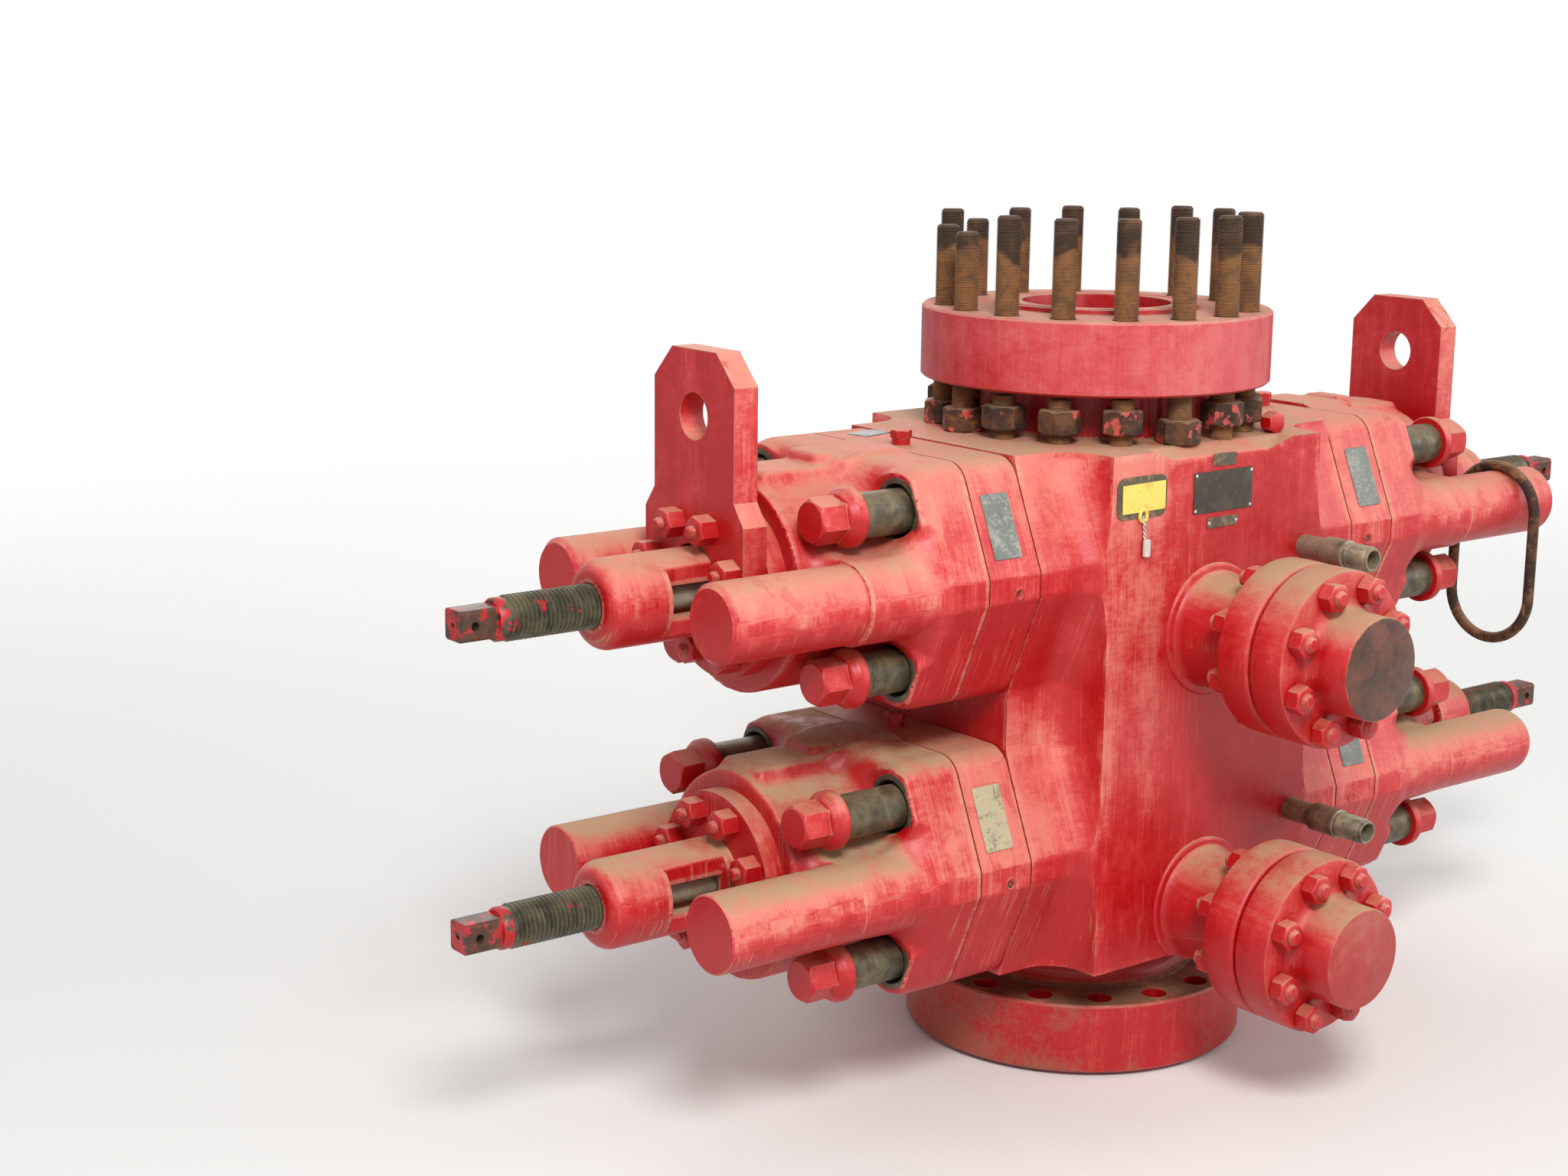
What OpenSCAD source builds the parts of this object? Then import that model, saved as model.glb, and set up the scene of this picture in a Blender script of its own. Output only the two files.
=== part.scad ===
// Double ram blowout preventer, a valve stack for a gas well.
// The rams run along X, the side outlets along Y and the well bore along Z.
// The origin is the centre of the bottom flange's raised face.

/* [Main flanges] */
// Outside diameter of the bottom flange and of the ring flange on top
flange_d = 654; // [640:1:680]
// Thickness of a main flange without its raised face
flange_t = 133; // [120:1:145]
// Diameter of the raised faces
face_d = 380; // [370:1:400]
// Height of a raised face
face_h = 8; // [5:1:10]
// Diameter of the well bore
bore_d = 279.4; // [260:0.1:300]
// Bolt circle of the main flanges
bolt_circle = 565.15; // [560:0.05:575]
// Diameter of the bolt holes
bolt_hole_d = 47.6; // [46:0.1:50]
// Diameter of the studs on top, above the ring flange
stud_d = 44.45; // [44:0.05:45]
// Size of a stud nut across its flats
stud_nut_af = 69.85; // [60:0.05:75]

/* [Body] */
// Height of the underside of the ram body
body_bottom = 236; // [220:1:250]
// Height of the flat top of the ram body
body_top = 1186; // [1180:1:1200]
// Half length of the body along the rams
body_half_x = 404; // [380:1:420]
// Half width of the web between the ram arms
web_half_y = 225; // [215:1:235]
// Half length of the central boss along the rams
boss_half_x = 268; // [250:1:290]
// Half depth of the central boss
boss_half_y = 330; // [325:1:340]
// Diameter of the neck between body and bottom flange
neck_d = 424; // [400:1:440]

/* [Ram arms] */
// Height of the lower ram axis
lower_axis = 451; // [450:1:455]
// Height of the upper ram axis
upper_axis = 971; // [965:1:972]
// Half height of an arm, an intermediate flange and a bonnet
arm_half_z = 213; // [205:1:214]
// Half width of an arm at its widest, on the ram axis
arm_half_y = 302; // [295:1:310]
// Thickness of an intermediate flange
mid_flange_t = 120; // [100:1:130]
// Thickness of a bonnet's plate
bonnet_t = 116; // [100:1:130]

/* [Bonnets] */
// Diameter of the operating cylinder's barrel
barrel_d = 374; // [360:1:380]
// Distance from the well axis to the outer face of the barrel
barrel_end = 840; // [830:1:850]
// Diameter of a cylinder head
head_d = 312; // [300:1:316]
// Distance from the well axis to the outer face of a cylinder head
head_end = 877; // [870:1:885]
// Diameter of a ram change cylinder
change_d = 135.4; // [130:0.1:138]
// Distance from the well axis to the end of a ram change cylinder
change_end = 1052; // [1000:1:1100]
// Distance between the axes of a bonnet's two ram change cylinders
change_pitch = 458; // [456:1:462]
// Diameter of a bonnet bolt's shank
bonnet_bolt_d = 78; // [70:1:80]
// Distance of a bonnet bolt's axis from the ram axis, across
bonnet_bolt_y = 194; // [190:1:196]
// Distance of a bonnet bolt's axis from the ram axis, up and down
bonnet_bolt_z = 138; // [136:1:140]

/* [Locking screws] */
// Diameter of a locking screw's threaded length
screw_d = 76.2; // [70:0.1:78]
// Diameter of a locking screw's plain inner length
shank_d = 54; // [50:0.5:56]
// Running clearance round a locking screw
screw_clearance = 1; // [0.8:0.1:1.5]
// Diameter of a screw housing
housing_d = 154; // [150:1:158]
// Distance from the well axis to the mouth of a screw housing
housing_end = 1134; // [1120:1:1150]
// Distance from the well axis to the end of a left locking screw
screw_end = 1390; // [1380:1:1400]
// How much further out the right locking screws stand than the left ones
right_screw_out = 24; // [0:1:30]

/* [Lifting plates] */
// Thickness of a lifting plate
plate_t = 48; // [40:1:60]
// Height of a lifting plate's top above the ram axis
plate_top = 410; // [390:1:430]
// Diameter of the lifting hole
plate_hole_d = 80; // [60:1:90]

/* [Side outlets] */
// Outside diameter of an outlet flange
outlet_d = 315.9; // [300:0.1:320]
// Thickness of an outlet flange
outlet_t = 69; // [60:1:75]
// Distance from the well axis to the joint between the outlet flanges
outlet_joint = 556; // [550:1:565]
// Drop from a ram axis to the outlet axis below it
outlet_drop = 123; // [110:1:130]
// Diameter of the boss on a blind flange
outlet_boss_d = 182; // [170:1:190]
// Bolt circle of the outlet flanges
outlet_circle = 258.8; // [255:0.1:262]

/* [Hidden] */

left = 180;
right = 0;
round_fn = 96;
mid_fn = 64;
small_fn = 32;

paint = [0.80, 0.33, 0.31];
rust = [0.36, 0.22, 0.14];
olive = [0.30, 0.27, 0.20];
steel = [0.50, 0.50, 0.46];

bolt_count = 16;
bolt_phase = 11.25;
hub_d = 424;
// The ring flange is drilled a little wider, so that it drops over all its studs
ring_hole_d = bolt_hole_d + 1;
// The studs' lower length, inside the nuts and the body, is a little slimmer
stud_low_d = stud_d - 0.6;
stud_top_in = 20;
neck_fillet = 24;
ring_top = body_top + 222;
ring_bottom = ring_top - flange_t;
groove_r = 172;
groove_w = 12;
groove_depth = 9;
stud_depth = 60;
stud_nut_h = 44;
// Height of each stud's tip above the ring flange, anticlockwise from +X
stud_stand = [174, 166, 168, 165, 147, 171, 148, 142, 177, 176, 178, 180, 180, 181, 175, 175];
// Height of each nut above the body's flat top
nut_lift = [10, 22, 16, 8, 24, 14, 0, 0, 17, 17, 20, 0, 25, 20, 12, 18];

arm_corner_r = 50;
arm_corner_y = 187;
arm_corner_z = arm_half_z - arm_corner_r;
// The nose of an arm is flat between two small arcs
arm_nose_r = 12;
arm_nose_y = arm_half_y - arm_nose_r;
arm_nose_z = 19.6;
// Turn and distance of the section's four sloping sides, which touch a nose arc and a corner arc
slope_turn = atan2(arm_corner_z - arm_nose_z, arm_corner_y - arm_nose_y)
    - acos((arm_nose_r - arm_corner_r) / norm([arm_corner_y - arm_nose_y, arm_corner_z - arm_nose_z]));
slope_distance = arm_corner_y * cos(slope_turn) + arm_corner_z * sin(slope_turn) + arm_corner_r;
seam_w = 3;
seam_depth = 5;
bonnet_in = body_half_x + mid_flange_t;
bonnet_face = bonnet_in + bonnet_t;
fillet_r = 74;
boss_edge_r = 6;

socket_r = 51;
socket_depth = 42;
bolt_tip = bonnet_in + 20;
hex_len = 56;
collar_t = 30;
collar_r = 52;
scallop_r = collar_r + 2;
barrel_fillet = 25;
change_fillet = 38;
bolt_hex_r = 41;
// How far out each bonnet's bolts stand, upper and lower: on the right the front pair is first, on the left the rear pair
upper_left_ends = [830, 830, 828, 819];
upper_right_ends = [836, 836, 836, 836];
lower_left_ends = [837, 837, 855, 838];
lower_right_ends = [836, 822, 836, 836];

edge_t = 36;
boss_r = 63;
spot_depth = 2;
ledge_half_y = 62;
ledge_z = 200;
ledge_end = barrel_end - 18;
pad_half_y = 66;
pad_out = 26;
change_base_r = 72;
change_base_end = 780;

head_nut_count = 8;
head_circle_r = 122;
head_stud_r = 11;
head_nut_h = 34;
head_nut_af = 46;
head_stud_out = 12;

screw_bore_r = screw_d / 2 + screw_clearance;
shank_bore_r = shank_d / 2 + screw_clearance;
square_len = 63;
square_side = 52;
cross_hole_in = 26;
cross_hole_r = 7;
screw_travel = 150;
thread_gap = 6;
thread_in = head_end + thread_gap + screw_travel;
shank_in = 850;
bonnet_bore_end = shank_in - screw_travel - 16;
housing_nose_r = 28;
slot_in = 897;
slot_out = 1018;
slot_half_z = 27;
flat_y = 51;

pad_r = 123;
pad_h = 6;
outlet_gap = 4;
outlet_nut_af = 46;
outlet_nut_h = 28;
outlet_stud_r = 14.3;
outlet_stud_out = 9;
outlet_stud_count = 8;
outlet_stud_phase = 22.5;
outlet_boss_end = 718;
// A blind flange is a little thicker than an outlet flange
blind_t = outlet_t + 4;
spool_root_r = 103;
spool_r = 91;
gasket_r = 108;

// Points of a circular arc from angle a to angle b
function arc(x, y, r, a, b, n) = [for (i = [0:n]) let (t = a + (b - a) * i / n) [x + r * cos(t), y + r * sin(t)]];

// The faceted section of an arm, an intermediate flange or a bonnet, drawn in Y and Z, smaller by inset
function quarter(inset) = concat(
    arc(arm_nose_y, arm_nose_z, arm_nose_r - inset, 0, slope_turn, 2),
    arc(arm_corner_y, arm_corner_z, arm_corner_r - inset, slope_turn, 90, 6)
);

function section(inset) = let (q = quarter(inset), n = len(q)) concat(
    q,
    [for (i = [n - 1:-1:0]) [-q[i][0], q[i][1]]],
    [for (i = [0:n - 1]) [-q[i][0], -q[i][1]]],
    [for (i = [n - 1:-1:0]) [q[i][0], -q[i][1]]]
);

// Puts its children on a ram axis, drawn for the right side
module at_ram(side, level) translate([0, 0, level]) rotate([0, 0, side]) children();

// A bar of the arm section along X from one distance to another
module arm_bar(from, to, inset = 0) {
    translate([from, 0, 0]) rotate([90, 0, 90]) linear_extrude(to - from) polygon(section(inset));
}

// A hollow-curved ring that blends a round bar along X into the flat face it stands on
module blend_ring(face, bar_r, r, fn) {
    translate([face, 0, 0]) rotate([0, 90, 0]) rotate_extrude($fn = fn) difference() {
        translate([0, -1]) square([bar_r + r, r + 1]);
        translate([bar_r + r, r]) circle(r = r, $fn = mid_fn);
    }
}

// A round bar along X
module x_bar(from, to, r, fn = mid_fn) {
    translate([from, 0, 0]) rotate([0, 90, 0]) cylinder(h = to - from, r = r, $fn = fn);
}

// A round bar along Y towards the front
module y_bar(from, to, r, fn = mid_fn) {
    translate([0, -from, 0]) rotate([90, 0, 0]) cylinder(h = to - from, r = r, $fn = fn);
}

// A hexagonal bar along Z
module hex_bar(h, af) {
    cylinder(h = h, r = af / sqrt(3), $fn = 6);
}

module on_bolt_circle(count, phase, r) {
    for (i = [0:count - 1]) rotate([0, 0, phase + 360 / count * i]) translate([r, 0, 0]) children();
}

// A main flange's disc with its bolt holes and bevelled rim
module main_flange(z, hole_d) {
    bevel = 4;
    r = flange_d / 2;
    difference() {
        translate([0, 0, z]) rotate_extrude($fn = round_fn) polygon([
            [bore_d / 2, 0], [r - bevel, 0], [r, bevel], [r, flange_t - bevel], [r - bevel, flange_t],
            [bore_d / 2, flange_t]
        ]);
        translate([0, 0, z - 1]) on_bolt_circle(bolt_count, bolt_phase, bolt_circle / 2)
            cylinder(h = flange_t + 2, d = hole_d, $fn = small_fn);
    }
}

// A raised face with its ring groove, seen from above; flip it for an underside
module raised_face() {
    rotate_extrude($fn = round_fn) polygon([
        [bore_d / 2, 0], [face_d / 2, 0], [face_d / 2, face_h],
        [groove_r + groove_w / 2, face_h], [groove_r + groove_w / 4, face_h - groove_depth + 2],
        [groove_r - groove_w / 4, face_h - groove_depth + 2], [groove_r - groove_w / 2, face_h], [bore_d / 2, face_h]
    ]);
}

// The block that the ram cavities run through: web, boss, arms and their inside corners
module ram_block() {
    height = body_top - body_bottom;
    translate([-body_half_x, -web_half_y, body_bottom]) cube([2 * body_half_x, 2 * web_half_y, height]);
    translate([0, 0, body_bottom]) linear_extrude(height) polygon(concat(
        arc(boss_half_x - boss_edge_r, boss_half_y - boss_edge_r, boss_edge_r, 0, 90, 4),
        arc(boss_edge_r - boss_half_x, boss_half_y - boss_edge_r, boss_edge_r, 90, 180, 4),
        arc(boss_edge_r - boss_half_x, boss_edge_r - boss_half_y, boss_edge_r, 180, 270, 4),
        arc(boss_half_x - boss_edge_r, boss_edge_r - boss_half_y, boss_edge_r, 270, 360, 4)
    ));
    for (level = [lower_axis, upper_axis]) translate([0, 0, level]) arm_bar(-body_half_x, body_half_x);
    for (sx = [-1, 1], sy = [-1, 1]) scale([sx, sy, 1])
        translate([boss_half_x, web_half_y, body_bottom]) linear_extrude(height) polygon(concat(
            [[-1, -1], [fillet_r, -1]],
            arc(fillet_r, fillet_r, fillet_r, 270, 180, 8),
            [[-1, fillet_r]]
        ));
}

module base_flange() color(paint) {
    translate([0, 0, face_h]) rotate([180, 0, 0]) raised_face();
    main_flange(face_h, bolt_hole_d);
}

// Neck between the bottom flange and the body, with a hollow curve at its foot
module base_neck() color(paint) {
    foot = face_h + flange_t;
    r = neck_d / 2;
    rotate_extrude($fn = round_fn) polygon(concat(
        [[bore_d / 2, foot]],
        arc(r + neck_fillet, foot + neck_fillet, neck_fillet, 270, 180, 6),
        [[r, body_bottom], [bore_d / 2, body_bottom]]
    ));
}

// Shallow relief along the body's top edge at the front, drawn as a prism along Y under a sloping cut
module front_relief() {
    depth = 18;
    reach = 34;
    slope = atan2(depth, reach);
    start = -172;
    start_in = -114;
    end_in = 124;
    end = 196;
    intersection() {
        translate([0, -boss_half_y + reach + 1, body_top]) rotate([90, 0, 0]) linear_extrude(reach + 20) polygon([
            [start, 2], [start_in, -depth - 2], [end_in, -depth - 2], [end, 2]
        ]);
        translate([-boss_half_x, -boss_half_y, body_top - depth]) rotate([slope, 0, 0])
            translate([0, -30, 0]) cube([2 * boss_half_x, 90, 60]);
    }
}

module body() color(paint) difference() {
    union() {
        ram_block();
        translate([0, 0, body_top - 1]) cylinder(h = ring_bottom - face_h - body_top + 1, d = hub_d, $fn = round_fn);
        for (level = [lower_axis, upper_axis], turn = [0, 180]) translate([0, 0, level - outlet_drop])
            rotate([0, 0, turn]) y_bar(boss_half_y - 1, boss_half_y + pad_h, pad_r, round_fn);
    }
    translate([0, 0, body_bottom - 1]) cylinder(h = ring_bottom, d = bore_d, $fn = round_fn);
    translate([0, 0, body_top - stud_depth]) on_bolt_circle(bolt_count, bolt_phase, bolt_circle / 2)
        cylinder(h = stud_depth + 1, d = stud_low_d, $fn = small_fn);
    translate([-boss_half_x, -boss_half_y - 2 * pad_h, body_bottom - pad_r])
        cube([2 * boss_half_x, 2 * boss_half_y + 4 * pad_h, pad_r]);
    front_relief();
}

module adapter_flange() color(paint) {
    main_flange(ring_bottom, ring_hole_d);
    translate([0, 0, ring_top]) raised_face();
    translate([0, 0, ring_bottom]) rotate([180, 0, 0]) raised_face();
}

module top_studs() color(rust) {
    foot = body_top - stud_depth;
    step = ring_top - stud_top_in;
    for (i = [0:bolt_count - 1]) rotate([0, 0, bolt_phase + 360 / bolt_count * i]) translate([bolt_circle / 2, 0, 0]) {
        translate([0, 0, foot]) cylinder(h = step + 1 - foot, d = stud_low_d, $fn = small_fn);
        translate([0, 0, step]) cylinder(h = stud_top_in + stud_stand[i], d = stud_d, $fn = small_fn);
    }
}

module top_nuts() color(rust) {
    turn_step = 17;
    for (i = [0:bolt_count - 1]) rotate([0, 0, bolt_phase + 360 / bolt_count * i])
        translate([bolt_circle / 2, 0, body_top + nut_lift[i]]) difference() {
            rotate([0, 0, turn_step * i]) hex_bar(stud_nut_h, stud_nut_af);
            translate([0, 0, -1]) cylinder(h = stud_nut_h + 2, d = stud_low_d, $fn = small_fn);
        }
}

module mid_flange(side, level) color(paint) at_ram(side, level) {
    arm_bar(body_half_x, body_half_x + seam_w, seam_depth);
    arm_bar(body_half_x + seam_w, bonnet_in - seam_w);
    arm_bar(bonnet_in - seam_w, bonnet_in, seam_depth);
}

// The four places of a bonnet's bolts
module at_bonnet_bolts() {
    for (sy = [-1, 1], sz = [-1, 1]) translate([0, sy * bonnet_bolt_y, sz * bonnet_bolt_z]) children();
}

// Cuts a bevel along the bonnet plate's outer edge, over the side whose normal is turned from +Y
module edge_bevel(turn, distance, depth, width) {
    long = 600;
    rotate([turn, 0, 0]) translate([bonnet_face - depth, distance, 0]) rotate([0, 0, -atan2(width, depth)])
        translate([-depth, 0, -long / 2]) cube([3 * depth + width, 2 * edge_t, long]);
}

// The bonnet's plate with its edge bevelled in two steps, and a round boss for each bolt
module bonnet_plate() {
    difference() {
        arm_bar(bonnet_in, bonnet_face);
        for (side = [[90, arm_half_z], [270, arm_half_z], [0, arm_half_y], [180, arm_half_y],
                     [slope_turn, slope_distance], [180 - slope_turn, slope_distance],
                     [180 + slope_turn, slope_distance], [360 - slope_turn, slope_distance]]) {
            edge_bevel(side[0], side[1], edge_t, edge_t / 4);
            edge_bevel(side[0], side[1], edge_t / 3, edge_t * 2 / 3);
        }
    }
    intersection() {
        arm_bar(bonnet_face - edge_t - 1, bonnet_face + 1);
        at_bonnet_bolts() x_bar(bonnet_face - edge_t, bonnet_face, boss_r);
    }
}

// Bonnet: plate, barrel, roots of the change cylinders and a ledge along the top
module bonnet(side, level) color(paint) at_ram(side, level) difference() {
    union() {
        bonnet_plate();
        x_bar(bonnet_face - edge_t, barrel_end, barrel_d / 2, round_fn);
        blend_ring(bonnet_face, barrel_d / 2, barrel_fillet, round_fn);
        intersection() {
            for (sy = [-1, 1]) translate([0, sy * change_pitch / 2, 0])
                blend_ring(bonnet_face, change_base_r, change_fillet, mid_fn);
            arm_bar(bonnet_face - 2, bonnet_face + change_fillet + 1);
        }
        for (sy = [-1, 1]) translate([0, sy * change_pitch / 2, 0])
            x_bar(bonnet_face - edge_t, change_base_end, change_base_r);
        translate([bonnet_face - edge_t, -pad_half_y, 0]) cube([edge_t + pad_out, 2 * pad_half_y, arm_half_z]);
        translate([bonnet_face - edge_t, -ledge_half_y, 0])
            cube([ledge_end - bonnet_face + edge_t, 2 * ledge_half_y, ledge_z]);
    }
    for (sy = [-1, 1]) translate([0, sy * change_pitch / 2, 0])
        x_bar(change_base_end, barrel_end + 1, change_d / 2);
    at_bonnet_bolts() {
        x_bar(bonnet_face - socket_depth, bonnet_face, socket_r);
        x_bar(bonnet_face - spot_depth, barrel_end + 1, scallop_r);
        x_bar(bolt_tip, bonnet_face, bonnet_bolt_d / 2);
    }
    x_bar(bonnet_bore_end, barrel_end + 1, shank_bore_r);
}

// Two solid cylinders beside the barrel, their outer ends bevelled or rounded by bevel
module change_cylinders(side, level, bevel) color(paint) at_ram(side, level) {
    r = change_d / 2;
    length = change_end - change_base_end;
    first = bevel * 0.35;
    for (sy = [-1, 1]) translate([change_base_end, sy * change_pitch / 2, 0]) rotate([0, 90, 0])
        rotate_extrude($fn = mid_fn) polygon([
            [0, 0], [r, 0], [r, length - bevel], [r - first, length - first],
            [r - bevel, length], [0, length]
        ]);
}

module cylinder_head(side, level) color(paint) at_ram(side, level) difference() {
    x_bar(barrel_end, head_end, head_d / 2, round_fn);
    x_bar(barrel_end - 1, head_end + 1, shank_bore_r);
}

// Eight studs with hexagon nuts; a lifting plate under some of them pushes those out
module head_nuts(side, level, lift) color(paint) at_ram(side, level) {
    turn_step = 11;
    for (i = [0:head_nut_count - 1]) {
        angle = 360 / head_nut_count * (i + 0.5);
        seat = head_end + (i < head_nut_count / 2 ? lift : 0);
        translate([0, head_circle_r * cos(angle), head_circle_r * sin(angle)]) {
            translate([seat, 0, 0]) rotate([0, 90, 0]) rotate([0, 0, turn_step * i]) hex_bar(head_nut_h, head_nut_af);
            x_bar(seat, seat + head_nut_h + head_stud_out, head_stud_r, small_fn);
        }
    }
}

// Bonnet bolts: shank, round collar and hexagon head
module bonnet_bolts(side, level, ends) color(olive) at_ram(side, level) {
    for (i = [0:3]) {
        sy = i < 2 ? -1 : 1;
        sz = i % 2 == 0 ? 1 : -1;
        translate([0, sy * bonnet_bolt_y, sz * bonnet_bolt_z]) {
            x_bar(bolt_tip, ends[i] - hex_len - collar_t, bonnet_bolt_d / 2);
            x_bar(ends[i] - hex_len - collar_t, ends[i] - hex_len, collar_r);
            translate([ends[i] - hex_len, 0, 0]) rotate([0, 90, 0]) cylinder(h = hex_len, r = bolt_hex_r, $fn = 6);
        }
    }
}

// The housing that carries the locking screw's thread, open at both sides over the plain shank
module screw_housing(side, level) color(paint) at_ram(side, level) difference() {
    r = housing_d / 2;
    translate([head_end, 0, 0]) rotate([0, 90, 0]) rotate_extrude($fn = mid_fn) polygon(concat(
        [[screw_bore_r, 0], [r, 0]],
        arc(r - housing_nose_r, housing_end - head_end - housing_nose_r, housing_nose_r, 0, 90, 6),
        [[screw_bore_r, housing_end - head_end]]
    ));
    translate([slot_in, -r - 1, -slot_half_z]) cube([slot_out - slot_in, 2 * r + 2, 2 * slot_half_z]);
    for (sy = [-1, 1]) translate([slot_in, sy > 0 ? flat_y : -r - 1, -r])
        cube([slot_out - slot_in, r + 1 - flat_y, 2 * r]);
}

// Locking screw: plain shank, thread and square end with a cross hole
module locking_screw(side, level, out) color(olive) at_ram(side, level) translate([out, 0, 0]) difference() {
    union() {
        x_bar(shank_in, thread_in, shank_d / 2);
        x_bar(thread_in, screw_end - square_len, screw_d / 2);
        translate([screw_end - square_len - 1, -square_side / 2, -square_side / 2])
            cube([square_len + 1, square_side, square_side]);
    }
    translate([screw_end - cross_hole_in, 0, 0]) y_bar(-square_side, square_side, cross_hole_r, small_fn);
}

// Lifting plate, drawn in Y and Z and extruded along X
module lifting_plate(side) color(paint) at_ram(side, upper_axis) {
    half = 115;
    foot_half = 142;
    foot_low = 8;
    foot_high = 128;
    waist_z = 165;
    top_half = 63;
    shoulder_z = plate_top - 54;
    hole_z = 298;
    gap = 4;
    difference() {
        translate([head_end, 0, 0]) rotate([90, 0, 90]) linear_extrude(plate_t) polygon([
            [foot_half, foot_low], [foot_half, foot_high], [half, waist_z], [half, shoulder_z],
            [top_half, plate_top], [-top_half, plate_top],
            [-half, shoulder_z], [-half, waist_z], [-foot_half, foot_high], [-foot_half, foot_low]
        ]);
        translate([0, 0, hole_z]) x_bar(head_end - 1, head_end + plate_t + 1, plate_hole_d / 2);
        x_bar(head_end - 1, head_end + plate_t + 1, housing_d / 2 + gap);
    }
}

// Puts its children on each side outlet, drawn towards the front
module at_outlets() {
    for (level = [lower_axis, upper_axis], turn = [0, 180])
        translate([0, 0, level - outlet_drop]) rotate([0, 0, turn]) children();
}

// Puts its children round an outlet's bolt circle
module on_outlet_circle() on_bolt_circle(outlet_stud_count, outlet_stud_phase, outlet_circle / 2) children();

module outlet_spools() color(paint) at_outlets() {
    start = boss_half_y + pad_h;
    back = outlet_joint - outlet_t;
    translate([0, -start, 0]) rotate([90, 0, 0])
        cylinder(h = back - start, r1 = spool_root_r, r2 = spool_r, $fn = mid_fn);
    difference() {
        y_bar(back, outlet_joint, outlet_d / 2, round_fn);
        rotate([90, 0, 0]) translate([0, 0, back - 1]) on_outlet_circle()
            cylinder(h = outlet_t + 2, r = outlet_stud_r, $fn = small_fn);
    }
}

module blind_flanges() color(paint) at_outlets() {
    start = outlet_joint + outlet_gap;
    y_bar(outlet_joint, start, gasket_r, mid_fn);
    difference() {
        y_bar(start, start + blind_t, outlet_d / 2, round_fn);
        rotate([90, 0, 0]) translate([0, 0, start - 1]) on_outlet_circle()
            cylinder(h = blind_t + 2, r = outlet_stud_r, $fn = small_fn);
    }
    y_bar(start + blind_t, outlet_boss_end, outlet_boss_d / 2, mid_fn);
}

module outlet_studs() color(paint) at_outlets() rotate([90, 0, 0]) {
    back = outlet_joint - outlet_t;
    front = outlet_joint + outlet_gap + blind_t;
    beyond = outlet_nut_h + outlet_stud_out;
    on_outlet_circle() {
        translate([0, 0, back - beyond]) cylinder(h = front - back + 2 * beyond, r = outlet_stud_r, $fn = small_fn);
        translate([0, 0, back - outlet_nut_h]) hex_bar(outlet_nut_h, outlet_nut_af);
        translate([0, 0, front]) hex_bar(outlet_nut_h, outlet_nut_af);
    }
}

// Pipe nipples for the hydraulic lines, beside the outlets
module hydraulic_nipples() color(steel) {
    x = 237;
    bore_r = 17;
    pipe_r = 22;
    coupling_r = 27;
    nipple_r = 24;
    // Height and length of each nipple
    for (spot = [[upper_axis + 4, 165], [lower_axis + 14, 190]]) translate([x, 0, spot[0]]) difference() {
        coupling = boss_half_y + spot[1] * 0.34;
        end = boss_half_y + spot[1] * 0.66;
        tip = boss_half_y + spot[1];
        union() {
            y_bar(boss_half_y, coupling, pipe_r, small_fn);
            y_bar(coupling, end, coupling_r, small_fn);
            y_bar(end, tip, nipple_r, small_fn);
        }
        y_bar(boss_half_y + spot[1] / 2, tip + 1, bore_r, small_fn);
    }
}

// An oval ring of round bar that hangs on a ram change cylinder
module hanging_ring() color(rust) {
    x = 945;
    bar_r = 11;
    half_w = 96;
    drop = 170;
    translate([x, -change_pitch / 2, upper_axis + change_d / 2 + bar_r - half_w]) rotate([90, 0, 90]) {
        rotate_extrude(angle = 180, $fn = mid_fn) translate([half_w, 0]) circle(r = bar_r, $fn = 24);
        translate([0, -drop, 0]) rotate([0, 0, 180])
            rotate_extrude(angle = 180, $fn = mid_fn) translate([half_w, 0]) circle(r = bar_r, $fn = 24);
        for (s = [-1, 1]) translate([s * half_w, 0, 0]) rotate([90, 0, 0]) cylinder(h = drop, r = bar_r, $fn = 24);
    }
}

base_flange();
base_neck();
body();
adapter_flange();
top_studs();
top_nuts();

mid_flange(left, upper_axis);  // upper_left_flange
bonnet(left, upper_axis);  // upper_left_bonnet
change_cylinders(left, upper_axis, 14);  // upper_left_cylinders
cylinder_head(left, upper_axis);  // upper_left_head
head_nuts(left, upper_axis, plate_t);  // upper_left_head_nuts
bonnet_bolts(left, upper_axis, upper_left_ends);  // upper_left_bolts
screw_housing(left, upper_axis);  // upper_left_housing
locking_screw(left, upper_axis, 0);  // upper_left_screw

mid_flange(right, upper_axis);  // upper_right_flange
bonnet(right, upper_axis);  // upper_right_bonnet
change_cylinders(right, upper_axis, 22);  // upper_right_cylinders
cylinder_head(right, upper_axis);  // upper_right_head
head_nuts(right, upper_axis, plate_t);  // upper_right_head_nuts
bonnet_bolts(right, upper_axis, upper_right_ends);  // upper_right_bolts
screw_housing(right, upper_axis);  // upper_right_housing
locking_screw(right, upper_axis, right_screw_out);  // upper_right_screw

mid_flange(left, lower_axis);  // lower_left_flange
bonnet(left, lower_axis);  // lower_left_bonnet
change_cylinders(left, lower_axis, 4);  // lower_left_cylinders
cylinder_head(left, lower_axis);  // lower_left_head
head_nuts(left, lower_axis, 0);  // lower_left_head_nuts
bonnet_bolts(left, lower_axis, lower_left_ends);  // lower_left_bolts
screw_housing(left, lower_axis);  // lower_left_housing
locking_screw(left, lower_axis, 0);  // lower_left_screw

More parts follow.
